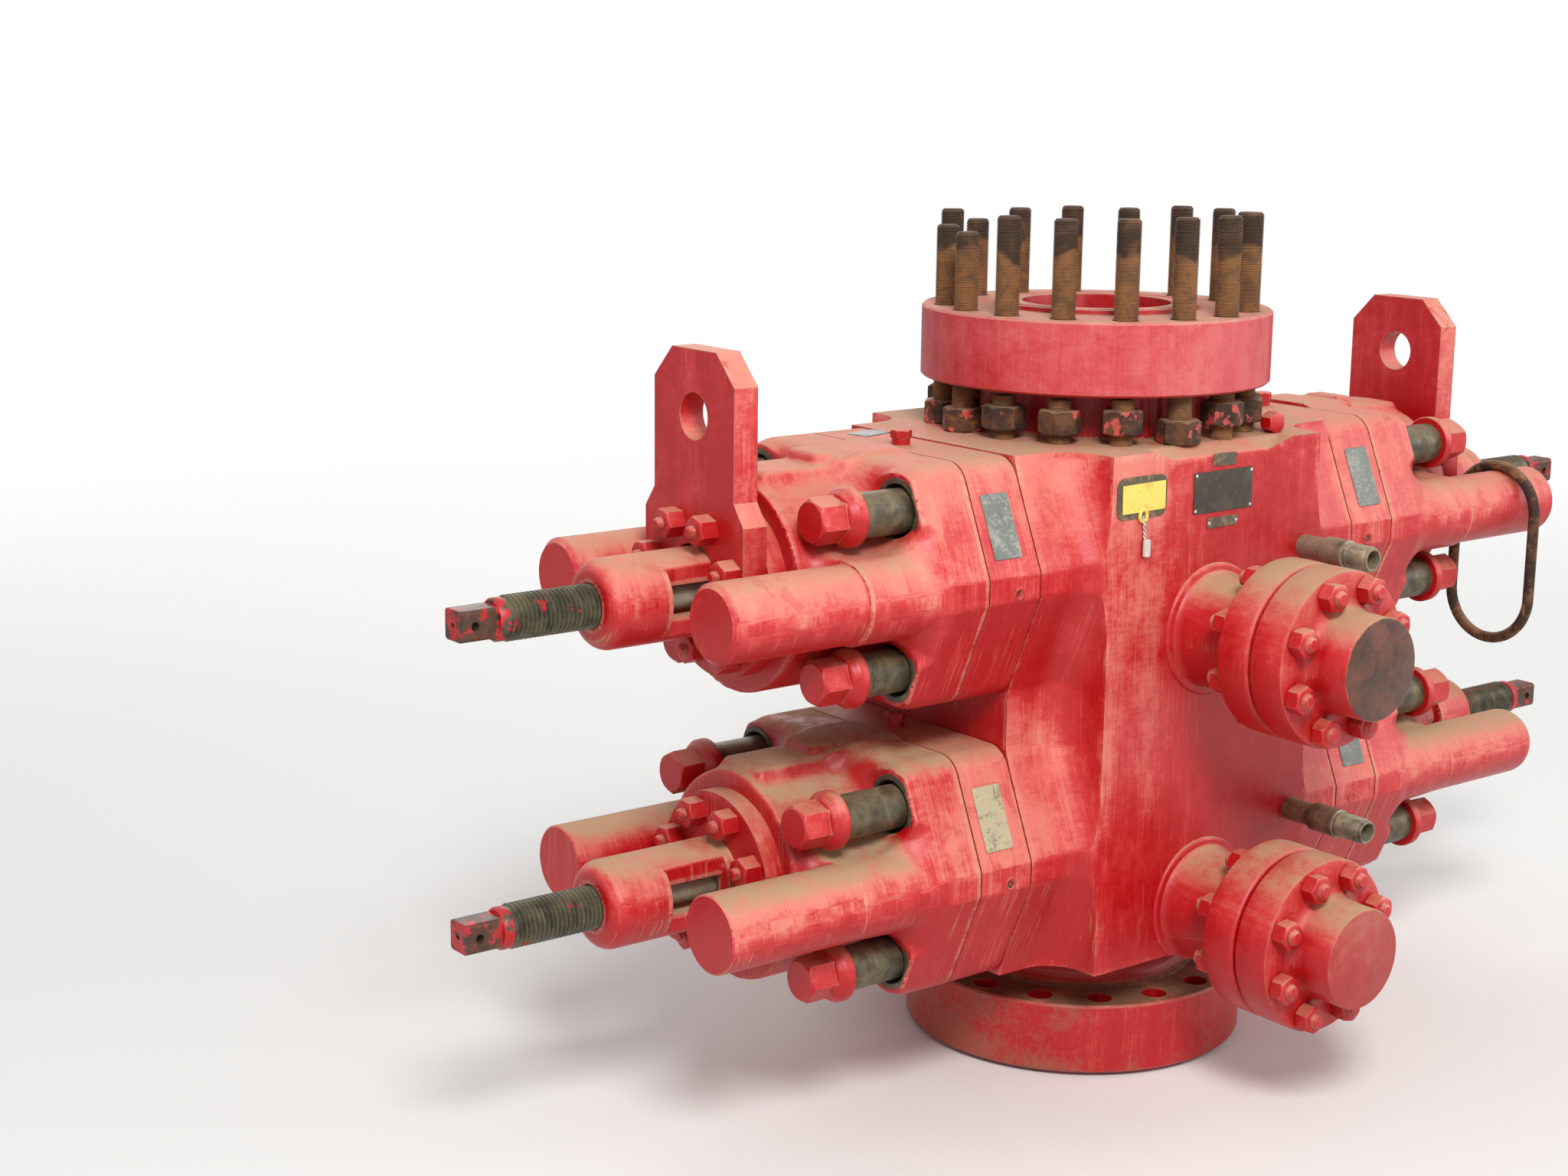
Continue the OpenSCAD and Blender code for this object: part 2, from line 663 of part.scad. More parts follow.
mid_flange(right, lower_axis);  // lower_right_flange
bonnet(right, lower_axis);  // lower_right_bonnet
change_cylinders(right, lower_axis, 22);  // lower_right_cylinders
cylinder_head(right, lower_axis);  // lower_right_head
head_nuts(right, lower_axis, 0);  // lower_right_head_nuts
bonnet_bolts(right, lower_axis, lower_right_ends);  // lower_right_bolts
screw_housing(right, lower_axis);  // lower_right_housing
locking_screw(right, lower_axis, right_screw_out);  // lower_right_screw

lifting_plate(left);  // left_lifting_plate
lifting_plate(right);  // right_lifting_plate
outlet_spools();
blind_flanges();
outlet_studs();
hydraulic_nipples();
hanging_ring();
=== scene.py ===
"""Looks of the double ram blowout preventer: sun-bleached red paint, rusty studs, oiled screws, plates and tag.

Metres throughout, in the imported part's own frame: +X along the rams, -Y the front, +Z up.
"""

import math

import bmesh
import bpy
import numpy as np
from mathutils import Matrix, Vector


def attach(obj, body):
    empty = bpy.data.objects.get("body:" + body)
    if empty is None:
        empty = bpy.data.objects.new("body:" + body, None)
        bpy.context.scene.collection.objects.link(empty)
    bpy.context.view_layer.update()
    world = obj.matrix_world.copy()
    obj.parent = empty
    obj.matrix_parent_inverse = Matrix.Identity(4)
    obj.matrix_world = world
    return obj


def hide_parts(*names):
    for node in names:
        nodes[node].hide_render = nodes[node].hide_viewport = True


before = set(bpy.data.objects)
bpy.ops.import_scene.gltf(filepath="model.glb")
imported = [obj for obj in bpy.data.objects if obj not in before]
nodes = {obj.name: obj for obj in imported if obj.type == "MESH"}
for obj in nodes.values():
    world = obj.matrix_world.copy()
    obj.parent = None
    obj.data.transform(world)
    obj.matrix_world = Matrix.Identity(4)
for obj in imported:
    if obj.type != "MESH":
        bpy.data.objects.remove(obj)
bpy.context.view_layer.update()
scene = bpy.context.scene
scene.view_settings.view_transform = "Standard"

MAIN = "stack"
UPPER, LOWER = 0.971, 0.451
LEFT, RIGHT = -1, 1
CORNERS = [
    ("upper_left", LEFT, UPPER), ("upper_right", RIGHT, UPPER),
    ("lower_left", LEFT, LOWER), ("lower_right", RIGHT, LOWER),
]

# Heights over the bottom face, half widths and depths of the body, and the place just off its front face.
BODY_BOTTOM, BODY_TOP, HUB_TOP = 0.236, 1.186, 1.267
RING_BOTTOM, RING_TOP = 1.275, 1.408
BOSS_DEPTH, ARM_END, BORE_R = 0.330, 0.404, 0.1397
FRONT = -BOSS_DEPTH - 0.0002

# Along a right ram axis: the bonnet, its barrel and cylinders, and the locking screw's housing and square end.
BONNET_IN, BONNET_FACE, BARREL_END, HOUSING_IN = 0.524, 0.640, 0.840, 0.877
SLOT_IN, SLOT_OUT, HOUSING_END = 0.897, 1.018, 1.134
SQUARE_IN, SCREW_END = 1.318, 1.390

# Across a ram axis.
ARM_WIDTH, ARM_HEIGHT, BONNET_TOP = 0.302, 0.213, 0.2205
BARREL_R, SCREW_BORE_R, HOUSING_R, SQUARE = 0.187, 0.028, 0.077, 0.026
CYLINDER_Y, CYLINDER_R, CYLINDER_END = 0.229, 0.0677, 1.052
BOLT_Y, BOLT_Z, SOCKET_R, SHANK_R = 0.194, 0.138, 0.047, 0.039
SOCKETS = [(y, z) for y in (-BOLT_Y, BOLT_Y) for z in (BOLT_Z, -BOLT_Z)]

# Side outlets, 123 mm under each ram axis: their heights, and whether they are at the front.
OUTLETS = [(level - 0.123, front) for level in (LOWER, UPPER) for front in (True, False)]

# Cell sizes of the cast skins.
BONNET_CELL, HOUSING_CELL, SQUARE_CELL, BODY_CELL = 0.0058, 0.0046, 0.0022, 0.0073


def grid(rows, cols):
    """Quads between rows of points, each row closed round."""
    a, b = (m.ravel() for m in np.meshgrid(np.arange(rows - 1), np.arange(cols), indexing="ij"))
    b2 = (b + 1) % cols
    return np.stack([a * cols + b, a * cols + b2, (a + 1) * cols + b2, (a + 1) * cols + b], 1)


def once_round(turns):
    """Angles in so many equal steps once round."""
    return np.linspace(0, 2 * np.pi, turns, endpoint=False)


def rings(z, r, t):
    """A ring of points (r cos t, r sin t, z) at each height z, with the first and the last closed on the axis."""
    z, r = np.r_[z[0], z, z[-1]], np.vstack([0 * t, r, 0 * t])
    points = np.stack([r * np.cos(t), r * np.sin(t), np.broadcast_to(z[:, None], r.shape)], 2)
    return points.reshape(-1, 3), grid(*r.shape)


def lathe(profile, turns=48):
    """A profile of (height, radius) turned round Z."""
    z, r = np.array(profile, float).T
    t = once_round(turns)
    return rings(z, r[:, None] + 0 * t, t)


def hexagon(height, flats, both=True, chamfer=30, per_side=6):
    """A hexagon bar with turned ends: at angle t and height z the radius is the smaller of the hexagon's side,
    flats/2 over the cosine of the angle from the nearest side's middle, and the cone that the turning leaves."""
    t = once_round(6 * per_side)
    side = flats / 2 / np.cos((t + np.pi / 6) % (np.pi / 3) - np.pi / 6)
    face, slope = 0.475 * flats, math.tan(math.radians(chamfer))
    steps = (flats / math.sqrt(3) - face) * slope * np.linspace(0, 1, 6)
    z = np.r_[steps if both else 0, height - steps[::-1]]
    cone = face + np.minimum(z if both else height, height - z) / slope
    return rings(z, np.minimum(side, cone[:, None]), t)


def thread(low, high, radius, pitch, depth, turns):
    """A screw thread: its root and the two edges of its crest are helices, z = pitch t / 2 pi, part of a pitch apart
    and held between low and high."""
    count = int((high - low) / pitch + 1) * turns + 1
    k = np.arange(count)
    t = 2 * np.pi * k / turns
    rise = low + pitch * (k / turns - 0.5)
    rows = []
    for r, lift in ((radius - depth, 0.0), (radius, 0.42), (radius, 0.58)):
        rows.append(np.stack([r * np.cos(t), r * np.sin(t), np.clip(rise + lift * pitch, low, high)], 1))
    i = np.arange(count - turns - 1)
    quads = []
    for a, b, hop in ((0, 1, 0), (1, 2, 0), (2, 0, turns)):
        quads.append(np.stack([a * count + i, a * count + i + 1, b * count + i + 1 + hop, b * count + i + hop], 1))
    return np.vstack(rows), np.vstack(quads)


def stud(low, high, radius, pitch, depth, turns=16, tip=0.003):
    """A threaded bar: the thread, and a core at its root whose ends are bevelled."""
    core = radius - depth + 0.0001
    body = [(low, core - tip), (low + tip, core), (high - tip, core), (high, core - tip)]
    return [thread(low + tip, high - tip, radius, pitch, depth, turns), lathe(body, turns)]


def slab(half_u, half_v, thick, corner, bevel):
    """A thin plate with rounded corners: its outline goes up its edge, in over a bevel and to the middle."""
    t = np.linspace(0, np.pi / 2, 5)
    q = np.stack([half_u - corner + corner * np.cos(t), half_v - corner + corner * np.sin(t)], 1)
    line = np.vstack([q, q[::-1] * (-1, 1), q * (-1, -1), q[::-1] * (1, -1)])
    inset = line * (1 - bevel / half_u, 1 - bevel / half_v)
    rows = [(0 * line, 0), (line, 0), (line, thick - bevel), (inset, thick), (0 * line, thick)]
    points = np.vstack([np.c_[p, np.full(len(line), z)] for p, z in rows])
    return points, grid(len(rows), len(line))


def tube(path, radius, sides=8):
    """A round wire: at each point of the path a ring of the given radius, across the direction to the next point."""
    path = np.array(path, float)
    ahead = np.gradient(path, axis=0)
    ahead /= np.linalg.norm(ahead, axis=1)[:, None]
    across = np.cross(ahead, (0.31, 0.87, 0.38))
    across /= np.linalg.norm(across, axis=1)[:, None]
    up = np.cross(ahead, across)
    t = once_round(sides)
    ring = across[:, None] * np.cos(t)[None, :, None] + up[:, None] * np.sin(t)[None, :, None]
    points = path[:, None] + radius * ring
    points = np.concatenate([np.repeat(path[:1, None], sides, 1), points, np.repeat(path[-1:, None], sides, 1)])
    return points.reshape(-1, 3), grid(len(path) + 2, sides)


def bolt_circle(count, radius):
    """Places of bolts evenly round a circle, the first of them half a step on from where it starts."""
    angles = [math.radians(360 / count * (i + 0.5)) for i in range(count)]
    return [(radius * math.cos(a), radius * math.sin(a)) for a in angles]


def stood(shape, place=(0, 0, 0), u=(1, 0, 0), v=(0, 1, 0)):
    """A shape moved to place, with its own X along u, its Y along v and its Z along their cross product."""
    points, quads = shape
    u, v = np.array(u, float), np.array(v, float)
    return points @ np.array([u, v, np.cross(u, v)]) + np.array(place), quads


def turned(shape, degrees):
    """A shape turned round its own Z."""
    a = math.radians(degrees)
    return stood(shape, u=(math.cos(a), math.sin(a), 0), v=(-math.sin(a), math.cos(a), 0))


def along_x(shape, place):
    """A shape with its own Z along X."""
    return stood(shape, place, (0, 1, 0), (0, 0, 1))


def along_y(shape, place, front=True, tilt=0.0):
    """A shape with its own Z along -Y, out of the front face, or along +Y at the back, tilted a little in that face."""
    return stood(shape, place, (1 if front else -1, 0, tilt), (-tilt, 0, 1))


def on_ram(shape, side, level):
    """A shape drawn for a right ram axis, put on a side and level: the left side is half a turn about Z."""
    points, quads = shape
    return points * (side, side, 1) + (0, 0, level), quads


# The cast shapes are distances to their surfaces, less than zero inside.
SLOPE = math.radians(23.26)
NOSE_Y, NOSE_Z, NOSE_R = 0.290, 0.0196, 0.012
CORNER_Y, CORNER_Z, CORNER_R = 0.187, 0.163, 0.050


def arm_section(y, z):
    """Distance to the arm's section in Y and Z. One quarter of it is a nose side, a slope and a level top, with a round
    corner between each two; a point takes the side or corner that it lies beside."""
    y, z = np.abs(y), np.abs(z)
    slope = (y - CORNER_Y) * math.cos(SLOPE) + (z - CORNER_Z) * math.sin(SLOPE) - CORNER_R
    along = z * math.cos(SLOPE) - y * math.sin(SLOPE)
    first = NOSE_Z * math.cos(SLOPE) - NOSE_Y * math.sin(SLOPE)
    last = CORNER_Z * math.cos(SLOPE) - CORNER_Y * math.sin(SLOPE)
    sides = np.maximum(np.maximum(y - NOSE_Y - NOSE_R, z - CORNER_Z - CORNER_R), slope)
    nose = np.hypot(y - NOSE_Y, z - NOSE_Z) - NOSE_R
    corner = np.hypot(y - CORNER_Y, z - CORNER_Z) - CORNER_R
    sides = np.where((z > NOSE_Z) & (along < first) & (y > NOSE_Y), nose, sides)
    return np.where((y > CORNER_Y) & (along > last) & (z > CORNER_Z), corner, sides)


def join(a, b, r):
    """Both solids, with a hollow fillet of radius r where they meet."""
    return np.maximum(r, np.minimum(a, b)) - np.hypot(np.maximum(r - a, 0), np.maximum(r - b, 0))


def meet(a, b, r):
    """What both solids share, with the edge between them rounded to radius r."""
    return np.minimum(-r, np.maximum(a, b)) + np.hypot(np.maximum(r + a, 0), np.maximum(r + b, 0))


def cast_bonnet(x, y, z, tapered=False, cut=True):
    """Plate with a rounded outer edge and full bolt bosses; barrel, cylinder roots, pad and ledge blended into it, the
    roots' blend dying out towards the nose. A tapered root goes down to its cylinder's own radius. The bolt sockets and
    the screw's bore are cut out, or not, for the wear marks."""
    ay, bolt = np.abs(y), np.hypot(np.abs(y) - BOLT_Y, np.abs(z) - BOLT_Z)
    section = arm_section(y, z)

    def bar(across, end, edge, start=0.58):
        return np.maximum(meet(across, x - end, edge), start - x)

    def block(half_width, top, side_edge, start, end, end_edge):
        return np.maximum(bar(meet(ay - half_width, z - top, side_edge), end, end_edge, start), 0.05 - z)

    plate = bar(section, BONNET_FACE, 0.036, BONNET_IN)
    boss = bar(np.maximum(bolt - 0.064, section), BONNET_FACE, 0.005, 0.59)
    barrel = bar(np.hypot(y, z) - BARREL_R, BARREL_END, 0.006)
    root_r = 0.072 - (0.0046 * np.clip((x - 0.66) / 0.12, 0, 1) if tapered else 0)
    root = bar(np.hypot(ay - CYLINDER_Y, z) - root_r, 0.780, 0.004)
    root_blend = 0.006 + 0.049 * np.clip((0.296 - ay) / 0.055, 0, 1)
    pad = block(0.066, 0.213, 0.008, 0.53, 0.672, 0.02)
    lump = block(0.043, 0.221, 0.012, 0.656, 0.700, 0.014)
    ledge = block(0.058, 0.200, 0.010, 0.56, 0.822, 0.012)
    plate = np.maximum(join(plate, boss, 0.014), np.maximum(section, x - BONNET_FACE))
    d = join(plate, barrel, 0.048)
    d = join(d, root, root_blend)
    d = join(d, join(join(pad, ledge, 0.02), lump, 0.012), 0.022)
    if cut:
        d = np.maximum(d, -np.maximum(bolt - SOCKET_R, 0.598 - x))
        d = np.maximum(d, -np.maximum(np.hypot(y, z) - SCREW_BORE_R, 0.690 - x))
    return np.maximum(np.maximum(d, BONNET_IN - x), np.maximum(ay - ARM_WIDTH, z - BONNET_TOP))


def ram_body(x, y, z):
    """Web and two arms, joined to the centre boss by a wide hollow curve and cut off at the boss's front and back;
    hub, well bore and the relief along the top edge at the front, over a slope and between two leaning ends."""
    ax, ay, r = np.abs(x), np.abs(y), np.hypot(x, y)
    web_depth, boss_width, hollow, hub_r = 0.225, 0.268, 0.074, 0.212
    d = ay - web_depth
    for level in (LOWER, UPPER):
        d = join(d, arm_section(y, z - level), 0.014)
    d = join(np.maximum(d, ax - ARM_END), ax - boss_width, hollow)
    d = np.maximum(np.maximum(d, ay - BOSS_DEPTH), np.maximum(z - BODY_TOP, BODY_BOTTOM - z))
    relief = (1.168 + (y + BOSS_DEPTH) * 0.53 - z) * 0.884
    relief = np.maximum(relief, (-0.022 * (x + 0.172) - 0.058 * (z - 1.188)) / 0.062)
    relief = np.maximum(relief, (0.022 * (x - 0.196) - 0.072 * (z - 1.188)) / 0.0753)
    d = join(np.maximum(d, -relief), np.maximum(r - hub_r, z - HUB_TOP), 0.008)
    return np.maximum(np.maximum(d, BORE_R - r), z - HUB_TOP)


def screw_nose(x, y, z):
    """Housing of a locking screw: a round bar with a rounded nose, bored, slotted, and milled flat beside the slot."""
    r = np.hypot(y, z)
    along_slot = np.maximum(SLOT_IN - x, x - SLOT_OUT)
    d = meet(r - HOUSING_R, x - HOUSING_END, 0.028)
    d = np.maximum(d, -meet(along_slot, np.abs(z) - 0.027, 0.006))
    d = np.maximum(d, -np.maximum(along_slot, 0.051 - np.abs(y)))
    return np.maximum(np.maximum(d, 0.0391 - r), HOUSING_IN - x)


def screw_square(x, y, z):
    """Square end of a locking screw, its corners turned down, with a cross hole and a centre mark."""
    r = np.hypot(y, z)
    d = meet(meet(np.maximum(np.abs(y), np.abs(z)) - SQUARE, r - 0.0335, 0.002), x - SCREW_END, 0.003)
    cross_hole, centre_mark = 0.0072 - np.hypot(x - 1.364, z), np.maximum(r - 0.0045, 1.385 - x)
    return np.maximum(np.maximum(np.maximum(d, cross_hole), SQUARE_IN - x), -centre_mark)


def skin(solid, low, high, step):
    """The skin of a solid given as a distance: each grid cell that it crosses has one point, the least-squares meeting
    of the tangent planes at its crossings, and each grid line that it crosses joins its four cells with a face."""
    lines = [np.arange(a - 1.37 * step, b + 1.5 * step, step) for a, b in zip(low, high)]
    count = np.array([len(m) for m in lines])
    stride = np.array([count[1] * count[2], count[2], 1])
    far = np.broadcast_to(solid(*np.meshgrid(*lines, indexing="ij", sparse=True)), count)
    sums = np.zeros((count.prod(), 13))
    faces = []
    for k in range(3):
        a, b = far.take(np.arange(count[k] - 1), k), far.take(np.arange(1, count[k]), k)
        spot = np.stack(np.nonzero((a < 0) != (b < 0)), 1)
        inside = a[tuple(spot.T)] < 0
        point = np.stack([lines[m][spot[:, m]] for m in range(3)], 1)
        start = point[:, k].copy()
        near, beyond = np.zeros(len(spot)), np.ones(len(spot))
        for _ in range(8):
            middle = (near + beyond) / 2
            point[:, k] = start + middle * step
            same = (solid(*point.T) < 0) == inside
            near, beyond = np.where(same, middle, near), np.where(same, beyond, middle)
        normal = slope_of(solid, point, 0.1 * step)
        pull = (normal * point).sum(1)[:, None] * normal
        pairs = np.stack([normal[:, i] * normal[:, j] for i, j in ((0, 0), (0, 1), (0, 2), (1, 1), (1, 2), (2, 2))], 1)
        row = np.hstack([np.ones((len(spot), 1)), point, pairs, pull])
        m, n = stride[(k + 1) % 3], stride[(k + 2) % 3]
        corner = spot @ stride
        around = np.stack([corner, corner - m, corner - m - n, corner - n], 1)
        faces.append(np.where(inside[:, None], around, around[:, ::-1]))
        for c in around.T:
            for column in range(13):
                sums[:, column] += np.bincount(c, row[:, column], len(sums))
    used, faces = np.unique(np.vstack(faces), return_inverse=True)
    sums = sums[used]
    mean = sums[:, 1:4] / sums[:, :1]
    square = sums[:, 4:10][:, [0, 1, 2, 1, 3, 4, 2, 4, 5]].reshape(-1, 3, 3)
    pull = sums[:, 10:] - np.einsum("nij,nj->ni", square, mean)
    held = square + 0.03 * sums[:, 0][:, None, None] * np.eye(3)
    points = mean + np.linalg.solve(held, pull[..., None])[..., 0]
    cell = np.stack([lines[m][i] for m, i in enumerate(np.unravel_index(used, count))], 1)
    return np.clip(points, cell - 0.05 * step, cell + 1.05 * step), faces.reshape(-1, 4)


def slope_of(solid, points, reach):
    """Unit normals: the distance's steepest rise, from its differences over a small reach."""
    rise = np.stack([solid(*(points + e).T) - solid(*(points - e).T) for e in reach * np.eye(3)], 1)
    return rise / (np.linalg.norm(rise, axis=1)[:, None] + 1e-12)


def wear_marks(solid, points):
    """Two marks from 0 to 1: worn, where the solid a little way in is nearer to its surface than it would be under a
    flat face, and hollow, where the open space a little way out is nearer to a surface than it would be over one.
    A thin wall isn't an edge, so the highest values of the first are dropped."""
    normal = slope_of(solid, points, 0.004)
    deep, off = 0.010, 0.030
    worn = (solid(*(points - deep * normal).T) + deep) / deep
    hollow = (off - solid(*(points + off * normal).T)) / off
    return np.clip(np.where(worn > 0.6, 0.1, 2 * worn), 0, 1), np.clip(hollow, 0, 1)


def new_object(name, data):
    """A new object in the scene."""
    obj = bpy.data.objects.new(name, data)
    scene.collection.objects.link(obj)
    return obj


def piece(name, shapes, material, slot, replaces=(), body=MAIN, sharp=38, marks=None):
    """One mesh object from several shapes, its seams merged and its faces turned outwards, with its body and finish.
    marks are the worn and hollow marks of its points, kept as attributes for the paint."""
    starts = np.cumsum([0] + [len(p) for p, _ in shapes])
    points = np.vstack([p for p, _ in shapes])
    quads = np.vstack([q + s for (_, q), s in zip(shapes, starts)])
    mesh = bpy.data.meshes.new(name)
    mesh.from_pydata(points.tolist(), [], quads.tolist())
    if marks is not None:
        for label, values in zip(("worn", "hollow"), marks):
            mesh.attributes.new(label, "FLOAT", "POINT").data.foreach_set("value", values.astype(np.float32))
    else:
        work = bmesh.new()
        work.from_mesh(mesh)
        bmesh.ops.remove_doubles(work, verts=work.verts, dist=2e-6)
        bmesh.ops.dissolve_degenerate(work, edges=work.edges, dist=1e-6)
        bmesh.ops.recalc_face_normals(work, faces=work.faces)
        work.to_mesh(mesh)
        work.free()
    mesh.polygons.foreach_set("use_smooth", np.ones(len(mesh.polygons), bool))
    mesh.set_sharp_from_angle(angle=math.radians(sharp))
    mesh.materials.append(material)
    obj = new_object(name, mesh)
    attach(obj, body)
    if replaces:
        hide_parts(*replaces)


def corner_piece(corner, name, shapes, made, slot, old, **more):
    """A piece of one corner, its shapes drawn for a right ram axis. It takes the place of that corner's node old."""
    label, side, level = corner
    piece(f"{label}_{name}", [on_ram(s, side, level) for s in shapes], made, slot, [f"{label}_{old}"], **more)


def srgb(r, g, b):
    """A colour as it is seen on a screen, made linear, with alpha."""
    linear = [c / 12.92 if c <= 0.04045 else ((c + 0.055) / 1.055) ** 2.4 for c in (r, g, b)]
    return (*linear, 1.0)


class Wiring:
    """Adds nodes to a tree. An input takes a socket, which is linked, or a plain value, which is set."""

    def __init__(self, tree):
        self.tree = tree

    def add(self, kind, inputs=(), **settings):
        node = self.tree.nodes.new("ShaderNode" + kind)
        for key, value in settings.items():
            setattr(node, key, value)
        for key, value in dict(inputs).items():
            self.feed(node.inputs[key], value)
        return node

    def feed(self, socket, value):
        if isinstance(value, bpy.types.NodeSocket):
            self.tree.links.new(value, socket)
        else:
            socket.default_value = value

    def sum(self, kind, a, b=0.0, c=0.0, clamp=False):
        return self.add("Math", {0: a, 1: b, 2: c}, operation=kind, use_clamp=clamp).outputs[0]

    def total(self, *terms):
        """The sum of terms, each a value or a (value, weight) pair."""
        terms = [self.sum("MULTIPLY", *t) if isinstance(t, tuple) else t for t in terms]
        while len(terms) > 1:
            terms.append(self.sum("ADD", terms.pop(0), terms.pop(0)))
        return terms[0]

    def times(self, *factors, clamp=False):
        factors = list(factors)
        while len(factors) > 2:
            factors.append(self.sum("MULTIPLY", factors.pop(0), factors.pop(0)))
        return self.sum("MULTIPLY", *factors, clamp=clamp)

    def vector(self, kind, a, b=(0, 0, 0)):
        node = self.add("VectorMath", {0: a, 1: b}, operation=kind)
        return node.outputs["Value"] if kind in ("DOT_PRODUCT", "LENGTH") else node.outputs[0]

    def blend(self, amount, a, b, kind="MIX"):
        return self.add("Mix", {0: amount, 6: a, 7: b}, data_type="RGBA", blend_type=kind, clamp_factor=True).outputs[2]

    def between(self, amount, a, b):
        return self.add("Mix", {0: amount, 2: a, 3: b}, data_type="FLOAT").outputs[0]

    def step(self, value, low, high, to_low=0.0, to_high=1.0):
        inputs = {"Value": value, "From Min": low, "From Max": high, "To Min": to_low, "To Max": to_high}
        return self.add("MapRange", inputs, interpolation_type="SMOOTHSTEP").outputs["Result"]

    def noise(self, where, scale, detail=3.0, rough=0.55, warp=0.0, shift=None):
        where = self.vector("ADD", where, shift) if shift else where
        inputs = {"Vector": where, "Scale": scale, "Detail": detail, "Roughness": rough, "Distortion": warp}
        return self.add("TexNoise", inputs).outputs["Fac"]

    def swing(self, *given):
        """A noise about zero."""
        return self.sum("SUBTRACT", self.noise(*given), 0.5)

    def grey(self, value):
        return self.add("CombineColor", {0: value, 1: value, 2: value}).outputs[0]

    def place(self):
        return self.add("TexCoord").outputs["Object"]

    def normal(self):
        return self.add("NewGeometry").outputs["Normal"]

    def parts(self, vector):
        return list(self.add("SeparateXYZ", {0: vector}).outputs)

    def joined(self, x, y, z):
        return self.add("CombineXYZ", {0: x, 1: y, 2: z}).outputs[0]


def new_group(name, inputs, outputs):
    """An empty shader node group: inputs are (name, value) pairs, a colour where value is a tuple; outputs are a Color
    and the named numbers."""
    group = bpy.data.node_groups.new(name, "ShaderNodeTree")
    for label, value in inputs:
        kind = "NodeSocketColor" if isinstance(value, tuple) else "NodeSocketFloat"
        group.interface.new_socket(label, in_out="INPUT", socket_type=kind).default_value = value
    for label in ("Color", *outputs):
        kind = "NodeSocketColor" if label == "Color" else "NodeSocketFloat"
        group.interface.new_socket(label, in_out="OUTPUT", socket_type=kind)
    wiring = Wiring(group)
    return group, wiring, group.nodes.new("NodeGroupInput").outputs, group.nodes.new("NodeGroupOutput").inputs


RED = srgb(0.68, 0.02, 0.055)
WORN_RED = srgb(0.77, 0.17, 0.185)
PINK = srgb(0.86, 0.48, 0.43)
CHALK = srgb(0.88, 0.63, 0.55)
DUST = srgb(0.71, 0.575, 0.445)
GRIME = srgb(0.30, 0.20, 0.15)


